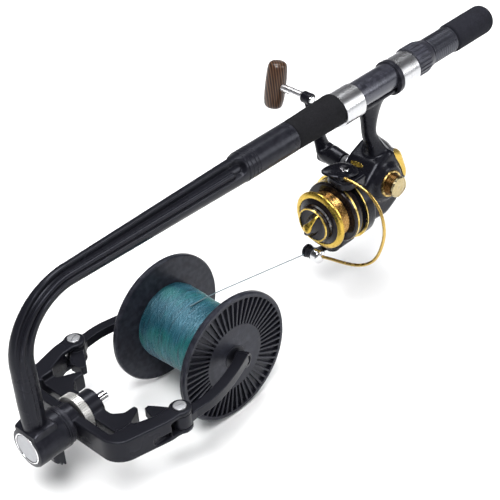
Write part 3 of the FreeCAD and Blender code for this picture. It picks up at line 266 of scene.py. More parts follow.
def lacquer(name, colour, rough, coat):
    """Dark lacquered metal: a base with fine flakes under a clear coat."""
    s = Shade(name, colour, rough, specular=0.15, coat=coat)
    s.set(s.surface, "Specular Tint", COOL)
    s.mottle(0.35, 0.55, 0.75, 0.7, times(colour, 2.6), 1.0)
    s.mottle(14.0, 0.4, 0.7, 0.4, times(colour, 1.5), 3.0)
    s.worn(times(colour, 3.0, 0.02), 0.5)
    s.uneven(5.0, 0.05)
    s.relief([(s.speckle(1.4), 0.006)], 0.35)
    return s.material


def foam_finish(name, colour):
    """Closed-cell foam: fine pits, a dusty bloom and darker handled patches."""
    s = Shade(name, colour, 0.88, specular=0.12)
    s.mottle(0.55, 0.45, 0.75, 0.7, times(colour, 2.3), 3.0)
    s.mottle(11.0, 0.45, 0.75, 0.5, times(colour, 0.55), 3.0)
    s.uneven(2.0, 0.06)
    s.relief([(s.cells(0.9), 0.10), (s.speckle(0.45, 3.0), 0.06)], 0.5)
    return s.material


def wood_finish():
    """Dark laminated wood: fine pale lines along the knob that bend round it, under satin lacquer."""
    s = Shade("knob_wood", (0.022, 0.0095, 0.0048), 0.36, specular=0.30, coat=0.15, coat_rough=0.22)
    lean = (0.0, math.radians(-14.0), 0.0)
    lines = s.bands(s.scaled((1.0, -0.85, 0.05), lean), "DIAGONAL",
                    Scale=225.0, Distortion=4.6, Detail=1.0, Detail_Scale=0.22)
    s.tint(s.ranged(lines, 0.66, 0.97, 0.0, 0.9), (0.115, 0.060, 0.032))
    s.tint(s.ranged(lines, 0.0, 0.25, 0.7, 0.0), (0.0085, 0.0045, 0.0030))
    s.mottle(3.0, 0.5, 0.75, 0.5, (0.060, 0.022, 0.010), 4.0, (1.0, 1.0, 0.2))
    s.uneven(2.5, 0.06)
    s.relief([(lines, 0.05), (s.speckle(0.5, 3.0, (1.0, 1.0, 0.15)), 0.02)], 0.3)
    return s.material


def line_finish():
    """Braided line: teal and blue in slow patches, some single turns painted lighter as highlights and others
    darker, a silky gloss.
    """
    s = Shade("wound_line", (0.0070, 0.054, 0.078), 0.33, specular=0.8)
    s.set(s.surface, "Specular Tint", (0.50, 0.82, 1.0, 1.0))
    s.mottle(26.0, 0.44, 0.56, 0.85, (0.004, 0.100, 0.088), 2.0, (1.0, 0.8, 1.0))
    # painted highlight: pale steel-blue on single turns
    s.mottle(0.8, 0.52, 0.70, 0.75, (0.055, 0.17, 0.23), 2.0, (0.06, 1.6, 0.06))
    s.mottle(1.3, 0.50, 0.70, 0.9, (0.0020, 0.010, 0.018), 3.0, (0.08, 1.4, 0.08))
    s.mottle(9.0, 0.5, 0.75, 0.45, (0.006, 0.032, 0.062), 3.0)
    s.uneven(1.5, 0.08)
    s.relief([(s.speckle(0.4, 2.0, (0.12, 2.4, 0.12)), 0.16)], 0.1)
    return s.material


def strand_finish():
    """The single line: paler than the wound one, with darker stretches."""
    s = Shade("strand_finish", (0.10, 0.15, 0.17), 0.35, specular=0.4)
    s.mottle(1.6, 0.4, 0.7, 0.6, (0.05, 0.09, 0.11))
    s.uneven(2.0, 0.08)
    return s.material


def ridged_bronze():
    """The reel spool's drum: fine turned ridges, with painted gold highlights on their crests."""
    s = Shade("ridged_bronze", (0.20, 0.105, 0.030), 0.26, metallic=1.0)
    ridges = s.bands(s.place, "X", Scale=850.0)
    # painted highlight: gold on each ridge's crest
    s.tint(s.ranged(ridges, 0.45, 0.95), (0.74, 0.47, 0.17))
    s.uneven(2.0, 0.05)
    s.relief([(ridges, 0.10)], 0.1)
    return s.material


def brushed(name, colour, rough):
    """Aluminium brushed round the rod, with tone that changes slowly round it."""
    s = Shade(name, colour, rough, metallic=1.0)
    hoops = (1.0, 0.012, 0.012)
    s.mottle(6.0, 0.40, 0.65, 0.2, times(colour, 0.80), 2.0, (0.1, 1.0, 1.0))
    s.mottle(0.45, 0.40, 0.70, 0.4, times(colour, 0.74), 3.0, hoops)
    s.uneven(14.0, 0.03)
    s.relief([(s.speckle(0.4, 2.0, hoops), 0.006)], 0.25)
    return s.material


finish = {
    "black_moulding": moulding("satin_black", (0.0064, 0.0065, 0.0090), 0.29),
    "black_matt": moulding("matt_black", (0.0056, 0.0056, 0.0078), 0.42, 0.02, 0.20),
    "foam": foam_finish("grip_foam", (0.0060, 0.0060, 0.0072)),
    "polished_steel": metal("polished_steel", (0.80, 0.80, 0.81), 0.14),
    "brushed_metal": brushed("brushed_metal", (0.60, 0.605, 0.62), 0.27),
    "grey_metal": metal("grey_metal", (0.36, 0.365, 0.38), 0.42),
    "gold_metal": metal("gold_metal", (0.54, 0.365, 0.065), 0.27, worn=(0.86, 0.70, 0.30)),
    "bronze_metal": metal("bronze_metal", (0.22, 0.115, 0.035), 0.30),
    "dark_metal": lacquer("dark_lacquer", (0.0042, 0.0042, 0.0062), 0.27, 0.05),
    "spool_plastic": moulding("spool_plastic", (0.0092, 0.0096, 0.0138), 0.33, 0.018, 0.22),
    "line_blue": line_finish(),
    "clear_line": strand_finish(),
    "wood": wood_finish(),
    "spring_steel": metal("spring_steel", (0.42, 0.42, 0.43), 0.28),
}

own_finish = {
    "thumb_wheel": metal("knurled_nickel", (0.55, 0.545, 0.53), 0.40),
    "bail_wire": metal("bail_gold", (0.52, 0.355, 0.105), 0.25, worn=(0.86, 0.68, 0.30)),
    "pale_gold": metal("pale_gold", (0.42, 0.345, 0.19), 0.28, worn=(0.90, 0.82, 0.55)),
    "gloss": lacquer("gloss_black", (0.0050, 0.0030, 0.0030), 0.14, 0.16),
    "bright_guide": metal("bright_guide", (0.72, 0.72, 0.73), 0.17),
    "seat_tube": moulding("seat_satin", (0.0095, 0.0097, 0.0135), 0.25, 0.003, 0.80),
    "lock_nut": moulding("nut_rubber", (0.0120, 0.0122, 0.0170), 0.38, 0.02, 0.42),
    "cap_bezel": metal("bezel_bronze", (0.20, 0.115, 0.030), 0.26, worn=(0.86, 0.66, 0.26)),
    "knob_shaft": metal("shaft_steel", (0.86, 0.86, 0.87), 0.30),
    "rear_foam": foam_finish("rear_foam", (0.0100, 0.0104, 0.0145)),
    "cap_wall": metal("cap_bronze", (0.12, 0.060, 0.020), 0.28, worn=(0.55, 0.36, 0.12)),
    "ridged": ridged_bronze(),
}
slot_of = {part["node"]: part["material_slot"] for part in frame["record"]["subparts"]}
for node, thing in nodes.items():
    thing.data.materials.clear()
    thing.data.materials.append(own_finish.get(node, finish[slot_of[node]]))


# ---------- mesh helpers
def mesh_from(name, points, faces, sharp=None):
    """A mesh from points in millimetres, with its faces turned outwards."""
    data = bpy.data.meshes.new(name)
    data.from_pydata([Vector(p) * MM for p in points], [], faces)
    data.validate()
    work = bmesh.new()
    work.from_mesh(data)
    bmesh.ops.recalc_face_normals(work, faces=work.faces)
    work.to_mesh(data)
    work.free()
    smooth(data, sharp)
    return data


def smooth(data, sharp=None):
    """Shades the mesh smooth, but for edges sharper than that angle in degrees."""
    data.shade_smooth()
    if sharp is not None:
        data.set_sharp_from_angle(angle=math.radians(sharp))


def ring_faces(rings, around):
    """The faces between closed rings of points that follow one another, and one at each end."""
    faces = []
    for i in range(rings - 1):
        for j in range(around):
            k = (j + 1) % around
            faces.append((i * around + j, i * around + k, (i + 1) * around + k, (i + 1) * around + j))
    return faces + [tuple(range(around)), tuple((rings - 1) * around + j for j in range(around))]


def lathe(profile, centre, axis, count=96, name="turned", sharp=32.0, change=None):
    """A surface turned from (distance along axis, radius) about axis through centre.

    It is closed where the profile starts and ends on the axis, or ends where it starts. change gives
    what is added to the radius at a distance and an angle.
    """
    axis = Vector(axis).normalized()
    side = axis.orthogonal().normalized()
    third = axis.cross(side)
    points, rings = [], []
    for along, radius in profile:
        if radius == 0:
            rings.append([len(points)])
            points.append(Vector(centre) + axis * along)
            continue
        ring = []
        for i in range(count):
            angle = 2 * math.pi * i / count
            r = radius + (change(along, angle) if change else 0.0)
            outward = side * math.cos(angle) + third * math.sin(angle)
            ring.append(len(points))
            points.append(Vector(centre) + axis * along + outward * r)
        rings.append(ring)
    faces = []
    for first, second in zip(rings, rings[1:]):
        for i in range(count):
            j = (i + 1) % count
            if len(first) == 1:
                faces.append((first[0], second[i], second[j]))
            elif len(second) == 1:
                faces.append((first[i], second[0], first[j]))
            else:
                faces.append((first[i], second[i], second[j], first[j]))
    return mesh_from(name, points, faces, sharp)


def evaluated_mesh(piece):
    """The mesh that a piece's modifiers or a curve's settings make."""
    depsgraph = bpy.context.evaluated_depsgraph_get()
    return bpy.data.meshes.new_from_object(piece.evaluated_get(depsgraph))


def baked(piece):
    """Gives the piece the mesh that its modifiers make."""
    data = evaluated_mesh(piece)
    piece.modifiers.clear()
    old, piece.data = piece.data, data
    name = old.name
    bpy.data.meshes.remove(old)
    data.name = name
    return data


def remeshed(piece, voxel, rounds):
    """Gives the piece an even mesh of that voxel size in millimetres, eased by rounds of smoothing."""
    remesh = piece.modifiers.new("remesh", "REMESH")
    remesh.mode, remesh.voxel_size = "VOXEL", voxel * MM
    ease = piece.modifiers.new("ease", "SMOOTH")
    ease.factor, ease.iterations = 0.5, rounds
    return baked(piece)


def drop_scraps(data):
    """Welds doubled points and takes out the slivers that a boolean can leave on an edge."""
    weld, scrap_area = 0.001 * MM, 0.01 * MM ** 2
    work = bmesh.new()
    work.from_mesh(data)
    bmesh.ops.remove_doubles(work, verts=work.verts, dist=weld)
    bmesh.ops.dissolve_degenerate(work, edges=work.edges, dist=weld)
    crowded = [edge for edge in work.edges if len(edge.link_faces) > 2]
    slivers = {face for edge in crowded for face in edge.link_faces if face.calc_area() < scrap_area}
    bmesh.ops.delete(work, geom=list(slivers), context="FACES")
    work.to_mesh(data)
    work.free()


def join_solids(piece, others, kind="UNION"):
    """Adds other closed meshes to the piece, or cuts them out of it."""
    for other in others:
        tool = link("tool", other)
        boolean = piece.modifiers.new("join", "BOOLEAN")
        boolean.object, boolean.operation, boolean.solver = tool, kind, "EXACT"
        baked(piece)
        bpy.data.objects.remove(tool)


def dress(piece, body, slot, *replaced, look=None):
    """Puts a new piece on its body, in place of CAD nodes."""
    if not piece.data.materials:
        piece.data.materials.append(look or finish[slot])
    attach(piece, body)
    if replaced:
        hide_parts(*replaced)
    return piece


def turned(name, profile, centre, axis, body, slot, *replaced,
           look=None, count=96, sharp=32.0, change=None):
    """A lathed piece on its body, in place of CAD nodes."""
    piece = link(name, lathe(profile, centre, axis, count, name, sharp, change))
    return dress(piece, body, slot, *replaced, look=look)


def second_look(piece, look, inside):
    """Another finish for the faces whose centres, in millimetres, are inside."""
    piece.data.materials.append(look)
    for face in piece.data.polygons:
        if inside(face.center / MM):
            face.material_index = 1


def block(outline, half_width, chamfer):
    """A prism across Y from an (x, z) outline, with chamfered ends."""
    count = len(outline)
    middle = Vector((sum(x for x, z in outline) / count, sum(z for x, z in outline) / count))
    layers = ((-half_width, chamfer), (chamfer - half_width, 0),
              (half_width - chamfer, 0), (half_width, chamfer))
    points = []
    for y, inset in layers:
        for x, z in outline:
            towards = (middle - Vector((x, z))).normalized() * inset
            points.append(Vector((x + towards.x, y, z + towards.y)))
    return mesh_from("block", points, ring_faces(len(layers), count), 32.0)


def bar_along(centre, up, along, length, width, height):
    """A small bar for cutting a screw's slot, its underside at centre."""
    up = up.normalized()
    along = (along - up * along.dot(up)).normalized()
    across = up.cross(along)
    points = []
    for rise in (0, height):
        for share, side in ((-0.5, -0.5), (0.5, -0.5), (0.5, 0.5), (-0.5, 0.5)):
            points.append(centre + up * rise + along * (share * length) + across * (side * width))
    return mesh_from("bar", points, ring_faces(2, 4), 30.0)


def eased(value, start, end):
    """0 before start, 1 after end and a soft rise between them."""
    share = min(max((value - start) / (end - start), 0.0), 1.0)
    return share * share * (3 - 2 * share)


body_of_node = {n: b for b, names in frame["record"]["behaviour"]["bodies"].items() for n in names}


# ---------- strand from the line spool to the reel
strand_route = [
    (spool_x - 4, 0.4, spool_z + 28.1), (spool_x + 6.5, 0.9, spool_z + 27.7),
    (spool_x + 64, 4.9, spool_z + 12.6), (spool_x + 115.6, 8.4, spool_z - 1.0)]
strand_length, strand_diameter = 123.5, 0.8


def make_strand():
    """A tube along a smooth curve through the route's points."""
    curve = bpy.data.curves.new("route", "CURVE")
    curve.dimensions = "3D"
    spline = curve.splines.new("NURBS")
    spline.points.add(len(strand_route) - 1)
    for point, place in zip(spline.points, strand_route):
        point.co = (*(Vector(place) * MM), 1.0)
    spline.order_u = 3
    spline.use_endpoint_u = True
    curve.resolution_u = 24
    route = link("route", curve)
    line = evaluated_mesh(route)
    bpy.data.meshes.remove(line)
    curve.bevel_depth = strand_diameter / 2 * MM
    curve.bevel_resolution = 3
    curve.use_fill_caps = True
    tube = evaluated_mesh(route)
    bpy.data.objects.remove(route)
    tube.name = "line_to_reel"
    tube.shade_smooth()
    piece = dress(link("line_to_reel", tube), "bracket", "clear_line", "line_strand")


make_strand()


# ---------- curved arm
column_start = 0.06  # the share of the column's height inside the hub
column_length = (arm_drop - bend_radius) * (1 - column_start)
bend_length = bend_radius * math.pi / 2
leg_start = column_x + bend_radius
leg_length = (socket_end - socket_length + 2.0) - leg_start
arm_length = column_length + bend_length + leg_length
arm_thick, arm_wide, bend_thinner = 16.4, 14.8, 0.8
leg_thick, leg_thicker, leg_wider = 15.6, 5.9, 6.4  # at the leg's start, and growth to the socket


def arm_section(s):
    """Centre, outward direction, half thickness and half width at the length s from the hub."""
    if s < column_length:
        share = column_start + (1 - column_start) * s / column_length
        fuller = -1.0 + 1.3 * eased(share, column_start, 0.6) - 0.3 * eased(share, 0.8, 1.0)
        centre = Vector((column_x, 0, stud_z + (arm_drop - bend_radius) * share))
        return centre, Vector((-1, 0, 0)), (arm_thick + fuller) / 2, (arm_wide + fuller) / 2
    if s < column_length + bend_length:
        share = (s - column_length) / bend_length
        angle = share * math.pi / 2
        outward = Vector((-math.cos(angle), 0, math.sin(angle)))
        centre = Vector((leg_start, 0, -bend_radius)) + outward * bend_radius
        return centre, outward, (arm_thick - bend_thinner * share) / 2, arm_wide / 2
    share = (s - column_length - bend_length) / leg_length
    thick, wide = leg_thick + leg_thicker * share, arm_wide + leg_wider * share
    return Vector((leg_start + leg_length * share, 0, 0)), Vector((0, 0, 1)), thick / 2, wide / 2


groove_half, groove_edge, groove_depth = 5.3, 1.5, 3.5
groove_start, groove_end = 16.0, arm_length - 9.0
column_depth, deepening = 0.07, 0.93  # shares of the depth: on the column, and gained after it
rib_half, rib_height, rib_end = 2.4, 2.9, groove_end - 6.5
rib_shift = 2.1  # the rib stands towards the channel's lower side


def groove_at(s, q):
    """How deep the arm's side is sunk at q across its channel, with the rib left standing in it."""
    from_line = math.hypot(s - min(max(s, groove_start), groove_end), q)
    sunk = groove_depth * (1 - eased(from_line, groove_half - groove_edge, groove_half))
    sunk *= eased(s, column_length * 0.55, column_length + bend_length * 0.9) * deepening + column_depth
    shift = rib_shift * eased(s, column_length, column_length + bend_length)
    from_rib = math.hypot((s - min(s, rib_end)) * 0.8, q - shift)
    if from_rib < rib_half:
        sunk -= rib_height * math.sqrt(1 - (from_rib / rib_half) ** 2) * (sunk / groove_depth)
    return sunk


def make_arm():
    """Column, bend and leg with a ribbed channel along each side, one with the socket and the hub."""
    coarse, fine, end_length, around = 190, 80, 24.0, 208
    column_lean, more_lean = 24, 16
    plain_radius, most_swell = 8.0, 1.15
    rows = [(arm_length - end_length) * i / coarse for i in range(coarse)]
    rows += [arm_length - end_length * (1 - i / fine) for i in range(fine + 1)]
    points = []
    for s in rows:
        centre, outward, thick, wide = arm_section(s)
        turned_by = eased(s, column_length * 0.5, column_length + bend_length)
        lean = math.radians(column_lean + more_lean * turned_by)
        mean = (thick + wide) / 2
        swell = mean / plain_radius
        for j in range(around):
            angle = 2 * math.pi * j / around
            across, out = math.cos(angle), math.sin(angle)
            radius = thick * wide / math.hypot(thick * across, wide * out)
            # angle 0 is +Y; both channels lean from the side towards the outside of the bend
            ways = (lean - angle, angle - (math.pi - lean), lean - (angle - 2 * math.pi))
            away = min(ways, key=abs)
            radius -= groove_at(s, away * mean / swell) * min(swell, most_swell)
            points.append(centre + Vector((0, 1, 0)) * (radius * across) + outward * (radius * out))
    arm = link("arm_moulding", mesh_from("arm_moulding", points, ring_faces(len(rows), around)))

    start = socket_end - socket_length
    line_depth, rim = 0.22, 0.7
    outline = [(start - 0.5, 0), (start - 0.5, socket_radius - 0.6), (start + 0.1, socket_radius)]
    for at in (start + 2.4, start + 6.2, start + 9.0):
        outline += [(at, socket_radius), (at + 0.2, socket_radius - line_depth),
                    (at + 0.5, socket_radius - line_depth), (at + 0.7, socket_radius)]
    outline += [(socket_end - rim, socket_radius), (socket_end, socket_radius - rim), (socket_end, 0)]
    socket = lathe(outline, (0, 0, 0), (1, 0, 0), count=120)
    hub = lathe([
        (hub_back, 0), (hub_back, hub_radius - 1.0), (hub_back + 0.3, hub_radius - 0.4),
        (hub_back + 1.0, hub_radius), (hub_front - 3.2, hub_radius), (hub_front - 2.9, hub_radius - 0.4),
        (hub_front - 2.3, hub_radius - 0.4), (hub_front - 2.0, hub_radius), (hub_front - 0.6, hub_radius),
        (hub_front, hub_radius - 0.6), (hub_front, 0)], (0, 0, stud_z), (1, 0, 0), count=120)
    high, low = stud_z + hub_radius, stud_z - hub_radius
    shoulder = block([
        (hub_back + 0.3, stud_z + 7.0), (hub_back + 0.3, high - 0.6), (hub_back + 4.0, high + 1.4),
        (hub_back + 17.0, high + 1.4), (hub_back + 19.0, high - 0.6), (hub_back + 19.0, stud_z + 7.0)],
        half_width=10.2, chamfer=0.8)
    tab_front = hub_front - 5.0
    tab = block([
        (tab_front - 9.0, low + 3), (tab_front - 8.6, low - 3.6), (tab_front - 6.4, low - 6.6),
        (tab_front - 4.6, low - 6.4), (tab_front - 3.6, low - 9.6), (tab_front - 2.2, low - 8.4),
        (tab_front - 1.2, low - 10.6), (tab_front, low - 10.6), (tab_front, low + 3)],
        half_width=7.4, chamfer=0.6)
    join_solids(arm, [socket, hub, shoulder, tab])
    drop_scraps(arm.data)
    smooth(arm.data, 32.0)
    dress(arm, "winder", "black_moulding", "curved_arm")


make_arm()


# ---------- foam grips
def make_grips():
    """Both foam grips, with soft rims and a surface that waves a little."""
    def bulges(along, angle):
        swell, ripple, finer = 0.11, 0.05, 3.1
        place = Vector((along * 0.09, math.cos(angle) * 1.3, math.sin(angle) * 1.3))
        return swell * noise.noise(place) + ripple * noise.noise(place * finer)

    def run(start, end, first, last, step=1.2):
        count = max(int((end - start) / step), 1)
        return [(start + (end - start) * i / count, first + (last - first) * i / count)
                for i in range(1, count)]

    front, rear, bore, r = -21.75, 21.75, 5, 11.2
    corner, corner_bore, sunk, steps = 6.5, 5.5, 0.12, 10
    profile = [(front, bore), (front, r - 1.3), (front + 0.35, r - 0.55), (front + 1.1, r - sunk)]
    profile += run(front + 1.1, rear - corner, r - sunk, r - sunk)
    for step in range(steps + 1):
        angle = math.radians(90 / steps * step)
        profile.append((rear - corner * (1 - math.sin(angle)),
                        corner_bore + (r - corner_bore) * math.cos(angle) - 0.1))
    profile += [(rear - 0.3, 5.3), (rear - 0.6, 5.0), (front, bore)]
    grip = turned("rear_grip_foam", profile, (0, 0, 0), (1, 0, 0), "winder", "foam", "rear_grip",
                  look=own_finish["rear_foam"], count=128, sharp=40, change=bulges)

    start, end, bore, first, last = -195.25, -149.35, 8.0, 11.0, 12.2
    profile = [(start, bore), (start, first - 1.0), (start + 0.3, first - 0.45), (start + 0.9, first - sunk)]
    profile += run(start + 0.9, end - 1.6, first - sunk, last - sunk)
    profile += [(end - 1.6, last - 0.14), (end - 0.7, last - 0.55), (end - 0.15, last - 1.3),
                (end, last - 2.0), (end, bore), (start, bore)]
    grip = turned("fore_grip_foam", profile, (0, 0, 0), (1, 0, 0), "winder", "foam", "fore_grip",
                  count=128, sharp=40, change=bulges)


make_grips()


# ---------- line wound on the spool
def make_line_pack():
    """Turns of line lying side by side, with a slow crossing lay over them and ends that slump."""
    pitch, per_turn = 1.05, 7
    ridge_height, crossing_height, wave, lift, sunk = 0.32, 0.14, 0.22, 0.22, 0.55
    slump, slump_start = -0.9, 0.93
    length = 2 * flange_inner - 0.3
    count = int(length / pitch * per_turn)
    near, far = 26.0, 28.5

    def change(along, angle):
        share = along / length
        turn = (along + 2.2 * math.sin(angle + 0.8)) / pitch + angle / (2 * math.pi)
        cross = (along * 0.35 - angle * 6.0) / 2.4
        ridge = abs(math.sin(math.pi * turn)) ** 0.8 - 0.6
        crossing = max(0.0, math.sin(2 * math.pi * cross)) ** 6
        uneven = noise.noise(Vector((along * 0.16, math.cos(angle) * 2.0, math.sin(angle) * 2.0)))
        raised = noise.noise(Vector((math.floor(turn) * 0.73, math.cos(angle) * 0.8, math.sin(angle) * 0.8)))
        at_end = eased(share, slump_start, 1.0) + eased(1 - share, slump_start, 1.0)
        return (ridge_height * ridge + crossing_height * crossing + wave * uneven + lift * raised
                + slump * at_end - sunk)

    sides = [(length * i / count, near + (far - near) * i / count) for i in range(count + 1)]
    turned("wound_line", [(0.0, 0)] + sides + [(length, 0)], (spool_x, -length / 2, spool_z), (0, 1, 0),
           "line_spool", "line_blue", "line_pack", count=200, sharp=60, change=change)


make_line_pack()


# ---------- lofted limbs
def loft(name, stations, around=48):
    """A closed smooth surface through ellipses, each (centre, first axis, second axis, a, b)."""
    points = []
    for centre, first, second, a, b in stations:
        for i in range(around):
            angle = 2 * math.pi * i / around
            points.append(Vector(centre) + Vector(first).normalized() * (a * math.cos(angle))
                          + Vector(second).normalized() * (b * math.sin(angle)))
    return mesh_from(name, points, ring_faces(len(stations), around), 50.0)


def between(stations, steps):
    """More stations between those given, on smooth curves through them."""
    def curve(values, share):
        before, first, second, after = values
        square = 2 * before - 5 * first + 4 * second - after
        cube = 3 * first - before - 3 * second + after
        return 0.5 * (2 * first + (second - before) * share + square * share ** 2 + cube * share ** 3)

    least = 0.05
    flat = [(*centre, *first, *second, a, b) for centre, first, second, a, b in stations]
    flat = [flat[0]] + flat + [flat[-1]]
    found = []
    for i in range(1, len(flat) - 2):
        for step in range(steps if i < len(flat) - 3 else steps + 1):
            *axes, a, b = [curve(values, step / steps) for values in zip(*flat[i - 1:i + 3])]
            found.append((axes[0:3], axes[3:6], axes[6:9], max(a, least), max(b, least)))
    return found


def at_reel(u, v, w):
    """A point given from the reel's middle: along the rod, across it and up."""
    return Vector((seat_middle + u, v, reel_z + w))


rotor_phase = math.radians(12.0)


def on_arm(u, v, w):
    """A point in the upright frame of the rotor's arm, turned to where that arm is at rest."""
    return at_reel(u, v * math.cos(rotor_phase) - w * math.sin(rotor_phase),
                   v * math.sin(rotor_phase) + w * math.cos(rotor_phase))


def cast(name, node, voxel, rounds, parts=(), others=(), look=None):
    """A CAD node as a casting: joined with other nodes and parts, remeshed, and put in their place."""
    data = nodes[node].data.copy()
    data.name = name
    piece = link(name, data)
    for other in others:
        join_solids(piece, [nodes[other].data.copy()])
    join_solids(piece, parts)
    smooth(remeshed(piece, voxel, rounds))
    piece.data.materials.clear()
    return dress(piece, body_of_node[node], slot_of[node], node, *others, look=look)


# ---------- castings and mouldings with eased edges
def tip_eye(side):
    """The ringed eye in which a finger's tip ends; side is 1 for the far finger and -1 for the near one."""
    lean, from_flange = math.radians(20.0), 8.0
    out = Vector((math.sin(lean), side * math.cos(lean), 0))
    face = Vector((spool_x, side * spool_half, spool_z)) + out * from_flange
    return lathe([(-3.0, 0), (-3.0, 5.3), (2.5, 5.3), (3.1, 4.8), (3.1, 3.3), (2.6, 2.9), (0.9, 2.7),
                  (0.9, 0)], face, out, count=72)


for piece_name, cad_name, voxel, rounds in (
        ("bracket_moulding", "bracket_frame", 0.5, 6), ("rotor_casting", "rotor_cup", 0.45, 12),
        ("rotor_arm_covers", "arm_covers", 0.28, 14)):
    cast(piece_name, cad_name, voxel, rounds)
for side, name in ((-1, "left_finger"), (1, "right_finger")):
    cast(name + "_moulding", name, voxel=0.36, rounds=4, parts=[tip_eye(side)])
cast("reel_casting", "reel_body", voxel=0.62, rounds=20, others=["side_cover"])


# ---------- reel spool
def reel_turned(name, profile, *place, look=None):
    """A piece turned about the reel's axis; place gives its body, slot and nodes."""
    return turned(name, profile, at_reel(0, 0, 0), (1, 0, 0), *place, look=look, count=144)


def make_reel_spool():
    """The gold lip, the ridged drum that ends in a glossy recess, and the glossy skirt."""
    bore, lip, inner, arbor, skirt = 2.56, 22.7, 18.4, 18.0, 23.8
    reel_turned("spool_lip_turned", [
        (-57.2, inner), (-60.5, inner), (-60.95, inner + 0.3), (-61.0, inner + 0.8), (-60.75, inner + 1.8),
        (-60.2, inner + 3.2), (-59.6, lip - 0.35), (-59.2, lip - 0.08), (-58.8, lip), (-58.0, lip),
        (-57.6, lip - 0.4), (-57.2, lip - 1.4), (-57.2, inner)], "reel_spool", "gold_metal", "spool_lip")
    drum = [(-47.0, bore), (-51.0, bore), (-51.0, 14.2), (-62.0, 14.2), (-62.0, 15.2), (-61.7, 15.6),
            (-60.9, inner - 0.3), (-60.6, inner - 0.02), (-57.2, inner - 0.02), (-57.0, arbor - 0.25)]
    ridges = 13
    for ridge in range(ridges):
        start = -56.8 + ridge * 9.6 / ridges
        drum += [(start, arbor - 0.3), (start + 0.14, arbor - 0.06), (start + 0.34, arbor),
                 (start + 0.54, arbor - 0.06)]
    drum += [(-47.2, arbor - 0.3), (-47.0, arbor - 0.3), (-47.0, bore)]
    piece = reel_turned("arbor_turned", drum, "reel_spool", "bronze_metal", "spool_arbor",
                        look=own_finish["ridged"])
    recess_start = at_reel(-57.05, 0, 0).x
    second_look(piece, own_finish["gloss"], lambda at: at.x < recess_start)
    reel_turned("spool_skirt_turned", [
        (-47.0, bore + 3), (-47.0, skirt - 1.6), (-46.9, skirt - 0.8), (-46.5, skirt - 0.25), (-45.9, skirt),
        (-44.25, skirt), (-44.2, skirt - 0.5), (-42.8, skirt - 0.5), (-42.75, skirt), (-39.4, skirt),
        (-38.9, skirt - 0.2), (-38.6, skirt - 0.7), (-38.6, skirt - 1.8), (-45.2, skirt - 1.8),
        (-45.2, bore + 3), (-47.0, bore + 3)],
        "reel_spool", "dark_metal", "spool_skirt", look=own_finish["gloss"])


def make_drag_knob():
    """A glossy disc with a raised grip across it, and a gold drop on the grip's crest."""
    radius, bore = 14.2, 2.56
    disc = lathe([
        (-63.4, 0), (-63.4, radius - 0.2), (-63.6, radius), (-65.7, radius), (-66.15, radius - 0.2),
        (-66.4, radius - 0.6), (-66.4, radius - 2.0), (-66.1, radius - 3.2), (-65.9, radius - 5.0),
        (-66.0, 4.2), (-68.6, 3.6), (-70.4, 3.0), (-70.4, 0)], at_reel(0, 0, 0), (1, 0, 0), count=144)
    turn = math.radians(30.0)
    along = Vector((0, -math.sin(turn), math.cos(turn)))
    across = Vector((0, math.cos(turn), math.sin(turn)))
    sizes = ((-65.6, 13.0, 6.6), (-68.0, 12.2, 4.6), (-70.2, 10.8, 3.2), (-71.3, 9.0, 2.2))
    stations = [(at_reel(at, 0, 0), along, across, a, b) for at, a, b in sizes]
    grip = loft("grip", between(stations, steps=4), around=64)
    hole = lathe([(-64.0, 0), (-64.0, bore), (-62.0, bore), (-62.0, 0)],
                 at_reel(0, 0, 0), (1, 0, 0), count=48)
    knob = link("drag_knob_turned", disc)
    join_solids(knob, [grip])
    join_solids(knob, [hole], "DIFFERENCE")
    smooth(remeshed(knob, voxel=0.22, rounds=3), 40.0)
    dress(knob, "drag_knob", "dark_metal", "drag_knob", look=own_finish["gloss"])

    def crest(share, height, wide, thick):
        return (at_reel(height, 0, 0) + along * share, across, Vector((1, 0, 0)), wide, thick)

    drop = link("drag_button_drop", loft("drag_button_drop", between([
        crest(12.9, -66.9, 0.7, 0.5), crest(11.0, -69.3, 1.0, 0.7), crest(8.6, -70.9, 1.4, 0.8),
        crest(4.8, -71.8, 2.1, 1.3), crest(2.0, -72.6, 3.1, 2.2), crest(-0.4, -72.9, 3.5, 2.4),
        crest(-2.6, -72.4, 2.9, 2.0), crest(-4.0, -71.6, 1.2, 0.9)], steps=5), around=40))
    dress(drop, "drag_knob", "gold_metal", "drag_button")


# ---------- bail
def make_bail():
    """The beaked hub on the rotor's arm, and its slotted screw."""
    outer, pivot = 34.65, -39.8
    lean = Vector((0.62, 0.78 * math.cos(rotor_phase), 0.78 * math.sin(rotor_phase)))
    rise = Vector((0, -math.sin(rotor_phase), math.cos(rotor_phase)))

    def beak(u, v, w, a, b):
        return (on_arm(u, v, w), lean, rise, a, b)

    shell = loft("beak", between([
        beak(pivot + 9.0, -5.6, outer + 0.9, 3.0, 0.9), beak(pivot + 6.0, -3.6, outer + 1.6, 6.0, 1.7),
        beak(pivot, 0.4, outer + 2.1, 8.4, 2.3), beak(pivot - 5.4, 4.4, outer + 1.9, 7.4, 2.0),
        beak(pivot - 10.0, 8.2, outer + 1.4, 4.6, 1.5),
        beak(pivot - 12.4, 10.4, outer + 1.0, 1.6, 0.8)], steps=6), around=56)
    cast("bail_hub_casting", "bail_hub", voxel=0.26, rounds=8, parts=[shell])
    head = on_arm(pivot, 0, outer + 4.1)
    screw = link("bail_screw_head", lathe([
        (-0.9, 0), (-0.9, 3.4), (0.1, 3.4), (0.5, 3.0), (0.62, 2.2), (0.66, 0)], head, rise, count=72))
    slot_floor, along = head + rise * 0.25, Vector((1, 0.55, 0))
    bar = bar_along(slot_floor, rise, along, length=7.0, width=0.8, height=1.6)
    join_solids(screw, [bar], "DIFFERENCE")
    smooth(screw.data, 32.0)
    dress(screw, "bail", "polished_steel", "bail_screw")


